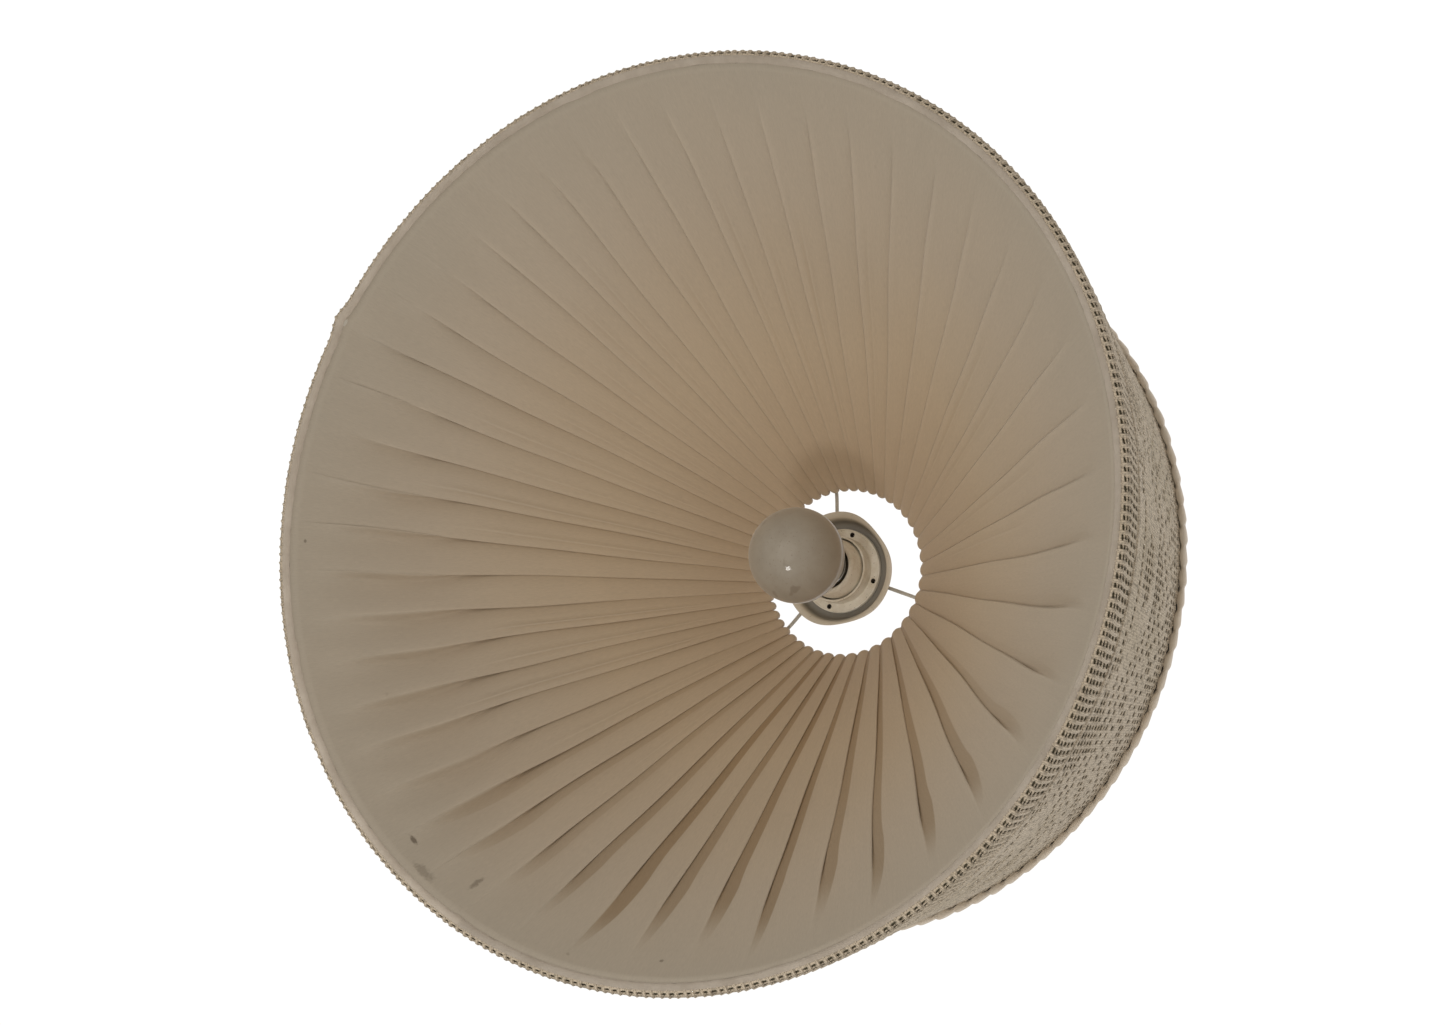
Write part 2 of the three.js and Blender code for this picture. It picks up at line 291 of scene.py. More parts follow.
def satin_finish():
    """Cream satin, greyer towards the rim and browner towards the fitter ring, with painted shade on
    the folds' treble bands and painted highlights on their edges.
    """
    satin = Finish("lining_satin", **{"Sheen Weight": 0.12, "Sheen Roughness": 0.4})
    place = satin.place()
    cloth = satin.cloth()
    height = satin.part(place, "Z") / TOP_HEIGHT
    cloudy = satin.noise(place, 9, 3)
    base = satin.ramp(height + (cloudy - 0.5) * 0.25,
                      (0.0, shade(186, 177, 163)), (0.3, shade(197, 184, 167)),
                      (0.65, shade(207, 189, 165)), (1.0, shade(205, 183, 156)))
    threads = satin.noise(satin.stretched(cloth, 2600, 260), 1.0, 2)
    slub = satin.noise(satin.stretched(cloth, 900, 30), 1.0, 3, 0.6)
    toned = satin.mix(0.35, base, satin.ramp(threads, (0.3, 0.72), (0.7, 1.0)), "MULTIPLY")
    toned = satin.mix(0.22, toned, satin.ramp(slub, (0.3, 0.8), (0.7, 1.0)), "MULTIPLY")
    # Painted light along the folds: shade where the cloth lies treble, a highlight on each fold's edge.
    painted_light = satin.node("ShaderNodeAttribute", {"attribute_name": "fold_tone"}, output="Fac")
    treble_shade = satin.ramp(painted_light, (0.0, 0.0), (1.0, 1.0))
    edge_highlight = satin.ramp(0 - painted_light, (0.0, 0.0), (1.0, 1.0))
    toned = satin.mix(treble_shade * 0.85, toned, satin.mix(1.0, toned, shade(196, 176, 146), "MULTIPLY"))
    toned = satin.mix(edge_highlight * 0.4, toned, shade(222, 210, 193))
    marks = satin.noise(place, 70, 2, 0.7)
    near_rim = satin.ramp(height, (0.0, 1.0), (0.35, 0.0))
    spots = satin.ramp(marks, (0.74, 0.0), (0.78, 1.0))
    spotted = satin.mix(spots * near_rim * 0.35, toned, shade(112, 96, 76))
    for angle, inward, length, wide, strength in STAINS:
        spotted = satin.mix(stain(satin, place, angle, inward, length, wide) * strength, spotted,
                            shade(92, 80, 66))
    fine = satin.bump(threads, 0.12 * MM, 0.5)
    return satin.looks(spotted, 0.62 - 0.12 * slub, satin.bump(cloudy, 1.5 * MM, 0.3, fine))


# Stains on the lining: angle round the shade in degrees, share of the way in from the rim, length
# and width, strength
STAINS = [(14, 0.055, 6 * MM, 2.5 * MM, 0.75), (3, 0.08, 3 * MM, 9 * MM, 0.5),
          (9, 0.025, 14 * MM, 5 * MM, 0.35), (60, 0.03, 2 * MM, 1.5 * MM, 0.6),
          (332, 0.06, 2 * MM, 2 * MM, 0.6)]


def stain(satin, place, angle, inward, length, wide):
    """A ragged mark at one place on the lining, drawn out round the shade."""
    r, z = Vector(LINING_RIM).lerp(Vector(FITTER_RING), inward)
    turn = math.radians(angle)
    centred = satin.node("ShaderNodeMapping", {"vector_type": "TEXTURE"}, {
        "Vector": place, "Location": at(r, z, turn), "Rotation": (0, 0, turn),
        "Scale": (wide, length, wide)})
    ragged = satin.length(centred) + satin.noise(place, 420, 3, 0.7) * 1.3 - 0.65
    return satin.ramp(ragged, (0.35, 1.0), (0.75, 0.0))


def satin_back_finish():
    """The lining's outer side: undyed cloth, coloured dark grey as painted shade for the hollow that
    the lace's openings show, and mottled with dust.
    """
    back = Finish("lining_back")
    place = back.place()
    dust = back.noise(place, 35, 4, 0.65)
    threads = back.noise(back.stretched(back.cloth(), 1800, 240), 1.0, 2)
    # Dark greys: painted shade for the hollow behind the lace, mottled with dust.
    base = back.ramp(dust, (0.3, shade(78, 73, 58)), (0.7, shade(112, 105, 88)))
    woven = back.mix(0.3, base, back.ramp(threads, (0.3, 0.7), (0.7, 1.0)), "MULTIPLY")
    return back.looks(woven, 0.95, back.bump(threads, 0.15 * MM, 0.6))


def lace_finish():
    """Ecru cotton: each strand is twisted thread, with painted shade in the hollows between strands and
    along the twist, and short dashes of painted shade for the gaps between stitches.
    """
    lace = Finish("cover_lace", **{"Specular IOR Level": 0.1})
    cloth = lace.cloth()
    place = lace.place()
    twist = lace.node("ShaderNodeTexWave", {"wave_type": "BANDS", "bands_direction": "DIAGONAL"}, {
        "Vector": lace.stretched(cloth, 1, 0.55), "Scale": 330, "Distortion": 2.2, "Detail": 2,
        "Detail Scale": 3})
    strands = lace.node("ShaderNodeTexWave", {"wave_type": "BANDS", "bands_direction": "X"}, {
        "Vector": cloth, "Scale": 165, "Distortion": 3.0, "Detail": 2, "Detail Scale": 1.5})
    patches = lace.noise(place, 14, 4, 0.6)
    base = lace.ramp(patches, (0.3, shade(218, 205, 184)), (0.55, shade(232, 219, 200)),
                     (0.75, shade(224, 211, 192)))
    # Short dark dashes: painted shade for the gaps between stitches.
    gap_shade = lace.noise(lace.stretched(cloth, 380, 130), 1.0, 2, 0.6)
    base = lace.mix(0.75, base, lace.ramp(gap_shade, (0.36, 0.5), (0.5, 1.0)), "MULTIPLY")
    # Painted shade in the hollows between strands and along each strand's twist.
    worked = lace.mix(0.45, base, lace.ramp(strands, (0.0, 0.55), (0.45, 1.0)), "MULTIPLY")
    worked = lace.mix(0.3, worked, lace.ramp(twist, (0.1, 0.7), (0.6, 1.0)), "MULTIPLY")
    relief = lace.bump(strands, 0.7 * MM, 0.7)
    return lace.looks(worked, 0.97 - 0.05 * patches, lace.bump(twist, 0.3 * MM, 0.6, relief))


def shade_net_finish():
    """Fine cotton net, coloured a dark grey-green as painted shade for the lace's openings, mottled
    with dust.
    """
    net = Finish("underlay_net", **{"Specular IOR Level": 0.1})
    mesh = net.weave(1.3 * MM, 1.3 * MM)
    dust = net.noise(net.place(), 40, 4, 0.6)
    # Dark grey-greens: painted shade seen through the lace's openings.
    base = net.ramp(dust, (0.3, shade(92, 89, 72)), (0.7, shade(118, 112, 94)))
    meshed = net.mix(0.5, base, net.ramp(mesh * 0.5 + 0.5, (0.2, 0.6), (0.8, 1.0)), "MULTIPLY")
    return net.looks(meshed, 1.0, net.bump(mesh, 0.2 * MM, 0.6))


def tape_finish(name, pale, dull, contrast=0.3):
    """Plain-woven cotton tape, a little soiled."""
    tape = Finish(name, **{"Sheen Weight": 0.15})
    weave = tape.weave(0.55 * MM, 0.6 * MM)
    soil = tape.noise(tape.place(), 45, 4, 0.65)
    base = tape.mix(tape.ramp(soil, (0.35, 1.0), (0.65, 0.0)), pale, dull)
    toned = tape.mix(contrast, base, tape.ramp(weave * 0.5 + 0.5, (0.1, 0.7), (0.8, 1.0)), "MULTIPLY")
    return tape.looks(toned, 0.9, tape.bump(weave, 0.12 * MM, 0.7))


def wire_finish():
    """Grey-white lacquer on steel wire, with rust where the welds broke it."""
    steel = Finish("frame_wire", **{"Coat Weight": 0.15})
    place = steel.place()
    grime = steel.noise(place, 60, 4, 0.7)
    flakes = steel.noise(place, 260, 3, 0.7)
    base = steel.ramp(grime, (0.3, shade(176, 172, 163)), (0.6, shade(204, 200, 190)))
    rust = steel.ramp(flakes, (0.62, 0.0), (0.68, 1.0))
    rusty = steel.mix(rust * 0.75, base, shade(112, 82, 58))
    return steel.looks(rusty, 0.4 + 0.35 * grime, steel.bump(flakes, 0.12 * MM, 0.5))


def enamel_finish():
    """White enamel on pressed sheet, yellowed, with a few chips and dust, and grey painted shade inside
    the cup's wall, in the groove round the shade ring.
    """
    enamel = Finish("white_enamel", **{"Coat Weight": 0.4, "Coat Roughness": 0.12})
    place = enamel.place()
    yellowed = enamel.noise(place, 30, 3)
    dust = enamel.noise(place, 420, 3, 0.75)
    base = enamel.ramp(yellowed, (0.3, shade(212, 202, 184)), (0.7, shade(228, 219, 204)))
    # Painted shade: grey inside the cup's wall, in the groove round the shade ring.
    radius = enamel.length(enamel.stretched(place, 1, 1, 0))
    groove_shade = enamel.ramp(radius / CUP_RADIUS, (0.87, 1.0), (0.925, 0.0))
    base = enamel.mix(groove_shade * 0.85, base, shade(122, 119, 114))
    dusted = enamel.mix(enamel.ramp(dust, (0.64, 0.0), (0.72, 0.6)), base, shade(150, 138, 118))
    return enamel.looks(dusted, 0.32 + 0.25 * dust, enamel.bump(yellowed, 0.6 * MM, 0.25))


def plastic_finish():
    """Moulded white plastic with light grime and fine black specks."""
    plastic = Finish("white_plastic", **{"Coat Weight": 0.1})
    place = plastic.place()
    grime = plastic.noise(place, 90, 4, 0.7)
    specks = plastic.noise(place, 900, 1, 0.5)
    base = plastic.ramp(grime, (0.35, shade(226, 217, 200)), (0.6, shade(245, 240, 228)))
    specked = plastic.mix(plastic.ramp(specks, (0.735, 0.0), (0.76, 0.9)), base, shade(62, 54, 44))
    return plastic.looks(specked, 0.38 + 0.3 * grime, plastic.bump(grime, 0.2 * MM, 0.3))


def hole_shade_finish():
    """Near-black painted shade down the spanner holes, mottled."""
    grime = Finish("grime", **{"Roughness": 0.95})
    clots = grime.noise(grime.place(), 500, 3, 0.7)
    # Near-black: painted shade in the holes.
    grime.set(**{"Base Color": grime.ramp(clots, (0.3, shade(34, 29, 24)), (0.7, shade(66, 57, 46)))})
    return grime.material


def porcelain_finish():
    glaze = Finish("porcelain", **{"Coat Weight": 0.6, "Coat Roughness": 0.08})
    mottle = glaze.noise(glaze.place(), 120, 3)
    base = glaze.ramp(mottle, (0.3, shade(214, 208, 198)), (0.7, shade(233, 229, 221)))
    return glaze.looks(base, 0.2 + 0.15 * mottle, glaze.bump(mottle, 0.2 * MM, 0.4))


def metal_finish(name, bright, dull, roughness):
    """Plain pressed metal with handling marks."""
    metal = Finish(name, **{"Metallic": 1.0})
    place = metal.place()
    tarnish = metal.noise(place, 140, 4, 0.7)
    scratches = metal.noise(metal.stretched(place, 1, 1, 14), 260, 3, 0.7)
    base = metal.mix(metal.ramp(tarnish, (0.35, 0.0), (0.7, 1.0)), bright, dull)
    return metal.looks(base, roughness + 0.25 * tarnish, metal.bump(scratches, 0.06 * MM, 0.5))


def bulb_finish():
    """Opal glass, frosted outside, with dust on its underside and faint wiped streaks."""
    glass = Finish("frosted_glass", **{"Coat Weight": 0.8, "Coat Roughness": 0.05,
                                       "Sheen Weight": 0.5, "Sheen Roughness": 0.35})
    place = glass.place()
    wiped = glass.noise(glass.stretched(place, 1, 1, 0.5), 60, 4, 0.6)
    dust = glass.noise(place, 600, 2, 0.7)
    height = glass.part(place, "Z") / MM
    share = (height - (GLOBE_HEIGHT - GLOBE_RADIUS)) / (2 * GLOBE_RADIUS)
    under = glass.ramp(share, (0.0, 1.0), (0.55, 0.0))
    base = glass.ramp(wiped, (0.3, shade(161, 153, 141)), (0.7, shade(173, 166, 155)))
    smears = glass.noise(glass.stretched(place, 1, 1.6, 0.8), 46, 2, 0.55)
    base = glass.mix(glass.ramp(smears, (0.66, 0.0), (0.7, 0.55)), base, shade(132, 122, 108))
    settled = glass.ramp(dust, (0.62, 0.0), (0.72, 1.0)) * under
    dusty = glass.mix(settled * 0.5, base, shade(128, 118, 104))
    return glass.looks(dusty, 0.42 + 0.25 * wiped, glass.bump(dust, 0.03 * MM, 0.3))


def black_glass_finish():
    vitrite = Finish("black_glass")
    ripple = vitrite.noise(vitrite.place(), 300, 3)
    base = vitrite.ramp(ripple, (0.3, shade(18, 17, 16)), (0.7, shade(40, 38, 36)))
    return vitrite.looks(base, 0.12 + 0.2 * ripple, vitrite.bump(ripple, 0.2 * MM, 0.5))


# ---------------------------------------------------------------- mesh helpers

def piece(name, points, faces, material, body="shade", slot=None, node=None, cloth=None):
    """A finished piece: its mesh, finish, body and the node it stands for. Its slot is not used."""
    mesh = bpy.data.meshes.new(name)
    mesh.from_pydata([tuple(p) for p in points], [], faces)
    if cloth is not None:
        layer = mesh.uv_layers.new(name="cloth")
        corners = np.empty(len(mesh.loops), dtype=np.int64)
        mesh.loops.foreach_get("vertex_index", corners)
        layer.data.foreach_set("uv", np.asarray(cloth, dtype=np.float32)[corners].ravel())
    mesh.materials.append(material)
    smooth_all(mesh)
    mesh.update()
    made = bpy.data.objects.new(name, mesh)
    bpy.context.collection.objects.link(made)
    return settle(made, body, node)


def smooth_all(mesh):
    mesh.polygons.foreach_set("use_smooth", [True] * len(mesh.polygons))


def settle(made, body, node=None):
    """Says which body a piece rides and the node it stands for."""
    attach(made, body)
    if node:
        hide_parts(node)
    return made


def thicken(made, thickness):
    """Gives a sheet its thickness, half each way."""
    wall = made.modifiers.new("thickness", "SOLIDIFY")
    wall.thickness = thickness
    wall.offset = 0
    return wall


def subdivide(made):
    smoother = made.modifiers.new("rounding", "SUBSURF")
    smoother.levels = smoother.render_levels = 1


def frozen(made):
    """The piece with its modifiers worked into its mesh."""
    graph = bpy.context.evaluated_depsgraph_get()
    mesh = bpy.data.meshes.new_from_object(made.evaluated_get(graph))
    made.modifiers.clear()
    old = made.data
    made.data = mesh
    mesh.name = made.name
    bpy.data.meshes.remove(old)
    return made


def grid_faces(rows, columns, round_rows=False, round_columns=True):
    """Quads over a grid of points kept row by row."""
    faces = []
    for row in range(rows if round_rows else rows - 1):
        upper = ((row + 1) % rows) * columns
        for column in range(columns if round_columns else columns - 1):
            beside = (column + 1) % columns
            faces.append((row * columns + column, row * columns + beside,
                          upper + beside, upper + column))
    return faces


def facing_out(points, faces):
    """The faces of a closed shape, turned outwards."""
    points = np.asarray(points)
    volume = 0.0
    for face in faces:
        for b, c in zip(face[1:-1], face[2:]):
            volume += float(np.dot(points[face[0]], np.cross(points[b], points[c])))
    return faces if volume > 0 else [tuple(reversed(face)) for face in faces]


def rounded(corners, steps=4):
    """The closed outline through (radius, height, rounding) corners, in metres."""
    outline = []
    count = len(corners)
    for i, (x, y, rounding) in enumerate(corners):
        here = Vector((x, y))
        if rounding == 0:
            outline.append((x, y))
            continue
        before = Vector(corners[i - 1][:2]) - here
        after = Vector(corners[(i + 1) % count][:2]) - here
        reach = min(rounding, before.length * 0.48, after.length * 0.48)
        start, end = here + before.normalized() * reach, here + after.normalized() * reach
        for k in range(steps + 1):
            t = k / steps
            outline.append(tuple(start * (1 - t) ** 2 + here * (2 * t * (1 - t)) + end * t ** 2))
    return outline


def turned(name, outline, segments, material, change=None, **kept):
    """A body of revolution from an outline that closes on itself or ends on the axis. change
    gives a point's radius and height from its own radius, height and angle."""
    outline = [(max(x, 0.0), z) for x, z in outline]
    points, rings = [], []
    for radius, height in outline:
        if radius < 1e-7:
            rings.append([len(points)] * segments)
            points.append((0.0, 0.0, height))
            continue
        start = len(points)
        rings.append(list(range(start, start + segments)))
        for k in range(segments):
            angle = TURN * k / segments
            r, z = change(radius, height, angle) if change else (radius, height)
            points.append((r * math.cos(angle), r * math.sin(angle), z))
    faces = []
    for lower, upper in zip(rings, rings[1:] + rings[:1]):
        for k in range(segments):
            beside = (k + 1) % segments
            corners = [lower[k], lower[beside], upper[beside], upper[k]]
            kept_corners = list(dict.fromkeys(corners))
            if len(kept_corners) > 2:
                faces.append(tuple(kept_corners))
    return piece(name, points, facing_out(points, faces), material, **kept)


def tube_mesh(route, radii, sides):
    """Points and faces of a round tube along a route, with domed ends."""
    route = [Vector(p) for p in route]
    count = len(route)
    radii = radii if hasattr(radii, "__len__") else [radii] * count
    points, aside = [], None
    for i, here in enumerate(route):
        before = route[i - 1] if i else here
        after = route[i + 1] if i < count - 1 else here
        along = (after - before).normalized()
        if aside is None:
            aside = along.orthogonal().normalized()
        aside = (aside - along * aside.dot(along)).normalized()
        other = along.cross(aside)
        for k in range(sides):
            a = TURN * k / sides
            points.append(here + (aside * math.cos(a) + other * math.sin(a)) * radii[i])
    faces = grid_faces(count, sides)
    ends = [(0, route[0], (route[0] - route[1]).normalized(), radii[0]),
            ((count - 1) * sides, route[-1], (route[-1] - route[-2]).normalized(), radii[-1])]
    for start, centre, way, radius in ends:
        tip = len(points)
        points.append(centre + way * radius * 0.5)
        faces += [(start + k, start + (k + 1) % sides, tip) for k in range(sides)]
    return points, faces


def tube(name, route, radii, sides, material, **kept):
    made = piece(name, *tube_mesh(route, radii, sides), material, **kept)
    make_normals_face_out(made)
    return made


def make_normals_face_out(made):
    work = bmesh.new()
    work.from_mesh(made.data)
    bmesh.ops.recalc_face_normals(work, faces=work.faces)
    work.to_mesh(made.data)
    work.free()


def at(radius, height, angle):
    """The point at this radius, height and angle round the Z axis."""
    return Vector((radius * math.cos(angle), radius * math.sin(angle), height))


def on_arc(centre, radius, angle):
    """A (radius, height) point on a circle round another such point."""
    return centre[0] + radius * math.cos(angle), centre[1] + radius * math.sin(angle)


def smooth_step(value, low, high):
    """0 below the low value, 1 above the high one, and a smooth rise between them."""
    t = np.clip((value - low) / (high - low), 0, 1)
    return t * t * (3 - 2 * t)


# ---------------------------------------------------------------- Geometry Nodes

class Grower:
    """A Geometry Nodes tree, built node by node, with named inputs."""

    def __init__(self, name, *inputs):
        """Each input is its name, its kind of socket and its value."""
        self.tree = bpy.data.node_groups.new(name, "GeometryNodeTree")
        for way in ("INPUT", "OUTPUT"):
            self.tree.interface.new_socket("Geometry", in_out=way, socket_type="NodeSocketGeometry")
        self.values = {}
        for label, kind, value in inputs:
            self.tree.interface.new_socket(label, in_out="INPUT", socket_type=kind)
            self.values[label] = value
        self.given = self.tree.nodes.new("NodeGroupInput").outputs

    def node(self, kind, settings=None, sockets=None, output=0):
        node = self.tree.nodes.new(kind)
        for name, value in (settings or {}).items():
            setattr(node, name, value)
        for name, value in (sockets or {}).items():
            if isinstance(value, bpy.types.NodeSocket):
                self.tree.links.new(value, node.inputs[name])
            else:
                node.inputs[name].default_value = value
        return node.outputs[output]

    def sum(self, operation, *values):
        return self.node("ShaderNodeMath", {"operation": operation}, dict(enumerate(values)))

    def grow(self, name, geometry, material):
        """Ends the tree, runs it and returns the plain mesh object that it makes."""
        real = self.node("GeometryNodeRealizeInstances", sockets={"Geometry": geometry})
        finished = self.node("GeometryNodeSetMaterial",
                             sockets={"Geometry": real, "Material": material})
        output = self.tree.nodes.new("NodeGroupOutput")
        self.tree.links.new(finished, output.inputs["Geometry"])
        mesh = bpy.data.meshes.new(name)
        made = bpy.data.objects.new(name, mesh)
        bpy.context.collection.objects.link(made)
        modifier = made.modifiers.new("grow", "NODES")
        modifier.node_group = self.tree
        for item in self.tree.interface.items_tree:
            if item.item_type == "SOCKET" and item.in_out == "INPUT" and item.name in self.values:
                modifier[item.identifier] = self.values[item.name]
        return frozen(made)


def round_the_axis(name, unit, count, material, turn_jitter, seed):
    """Copies of a unit, which lies in its place at angle 0, all round the Z axis."""
    grower = Grower(name + "_tree",
                    ("Unit", "NodeSocketObject", unit), ("Count", "NodeSocketInt", count),
                    ("Turn Jitter", "NodeSocketFloat", turn_jitter), ("Seed", "NodeSocketInt", seed))
    given = grower.given
    shape = grower.node("GeometryNodeObjectInfo", sockets={"Object": given["Unit"]}, output="Geometry")
    points = grower.node("GeometryNodePoints", sockets={"Count": given["Count"]})
    index = grower.node("GeometryNodeInputIndex")
    step = grower.sum("DIVIDE", TURN, given["Count"])
    sway = grower.node("FunctionNodeRandomValue", {"data_type": "FLOAT"}, {
        2: -1.0, 3: 1.0, "Seed": given["Seed"]}, output=1)
    turn = grower.sum("MULTIPLY", index, step)
    turn = grower.sum("ADD", turn, grower.sum("MULTIPLY", sway, given["Turn Jitter"]))
    turned_to = grower.node("ShaderNodeCombineXYZ", sockets={"Z": turn})
    copies = grower.node("GeometryNodeInstanceOnPoints", sockets={
        "Points": points, "Instance": shape, "Rotation": turned_to})
    made = grower.grow(name, copies, material)
    bpy.data.objects.remove(unit)
    smooth_all(made.data)
    return made


def unit_of(points, faces, cloth=None):
    """An object that only lends its mesh to a tree."""
    mesh = bpy.data.meshes.new("unit")
    mesh.from_pydata([tuple(p) for p in points], [], facing_out(points, faces))
    if cloth is not None:
        layer = mesh.uv_layers.new(name="cloth")
        for loop in mesh.loops:
            layer.data[loop.index].uv = cloth[loop.vertex_index]
    unit = bpy.data.objects.new("unit", mesh)
    bpy.context.collection.objects.link(unit)
    return unit


# ---------------------------------------------------------------- the pleated lining

FOLD_COUNT = 47
SEAM_FOLD = 14
LINING_ROWS = 54
ROW_CLOTH = 5.3 * MM
WRAP_ROWS = 9
CLOTH = 0.3 * MM
LINING_RIM = (MOUTH_RADIUS - 7.4 * MM, 1.4 * MM)
WRAP_RADIUS = 3.6 * MM
WRAP_FROM = math.radians(222.5)
WRAP_TO = math.radians(140)

# A fold in section has seven columns over its face, three across the band where the next fold begins,
# and five in the two layers hidden under it. Of the visible ten: where the first seven lie, and how far
# each has dropped and how much painted shade it takes by kind of fold.
FACE_SHARES = np.array((0.0, 0.05, 0.2, 0.4, 0.45, 0.5, 0.75))
HIDDEN_SHARES = np.array((0.14, 0.6, 1.0, 0.62, 0.1))
FOLD_COLUMNS = len(FACE_SHARES) + 3 + len(HIDDEN_SHARES)
CRISP_DROP = np.array((0.02, 0.05, 0.1, 0.18, 0.2, 0.22, 0.3, 0.4, 0.9, 1.0))
GENTLE_DROP = np.array((0.02, 0.05, 0.12, 0.22, 0.25, 0.28, 0.45, 0.65, 0.8, 1.0))
FLAT_DROP = np.array((0.02, 0.03, 0.05, 0.08, 0.09, 0.1, 0.16, 0.3, 0.55, 1.0))
CRISP_SHADOW = np.array((0, 0, 0, 0, 0, 0, 0, 0.05, 0.95, 1.0))
GENTLE_SHADOW = np.array((0, 0, 0, 0, 0.05, 0.1, 0.25, 0.5, 0.65, 1.0))


def fold_angle(i):
    """Where a fold lies round the shade: the cloth was gathered by hand, closer on one side."""
    even = TURN * i / FOLD_COUNT
    crowding = (9.21 * math.cos(even - math.radians(18.4))
                + 1.70 * math.cos(2 * even + math.radians(31.5)))
    return even + math.radians(crowding - 17.08)


def lining_path():
    """Rows of (radius, height, outward normal's radius and height, share of the way in, share
    of the way round the fitter ring)."""
    centre = Vector(FITTER_RING)
    start = Vector(LINING_RIM)
    touch = centre + WRAP_RADIUS * Vector((math.cos(WRAP_FROM), math.sin(WRAP_FROM)))
    normal = (touch - centre).normalized()
    rows = []
    for k in range(LINING_ROWS):
        share = k / (LINING_ROWS - 1)
        p = start.lerp(touch, share)
        rows.append((p.x, p.y, normal.x, normal.y, share, 0.0))
    for k in range(1, WRAP_ROWS + 1):
        share = k / WRAP_ROWS
        a = WRAP_FROM + (WRAP_TO - WRAP_FROM) * share
        way = Vector((math.cos(a), math.sin(a)))
        p = centre + way * WRAP_RADIUS
        rows.append((p.x, p.y, way.x, way.y, 1.0, share))
    return rows


def side_of_shade(angle, middle, width):
    """1 on the side of the shade that faces the middle angle, in degrees, and 0 away from it."""
    away = abs((math.degrees(angle) - middle + 180) % 360 - 180)
    return smooth_step(width * 1.35 - away, 0, width * 0.7)


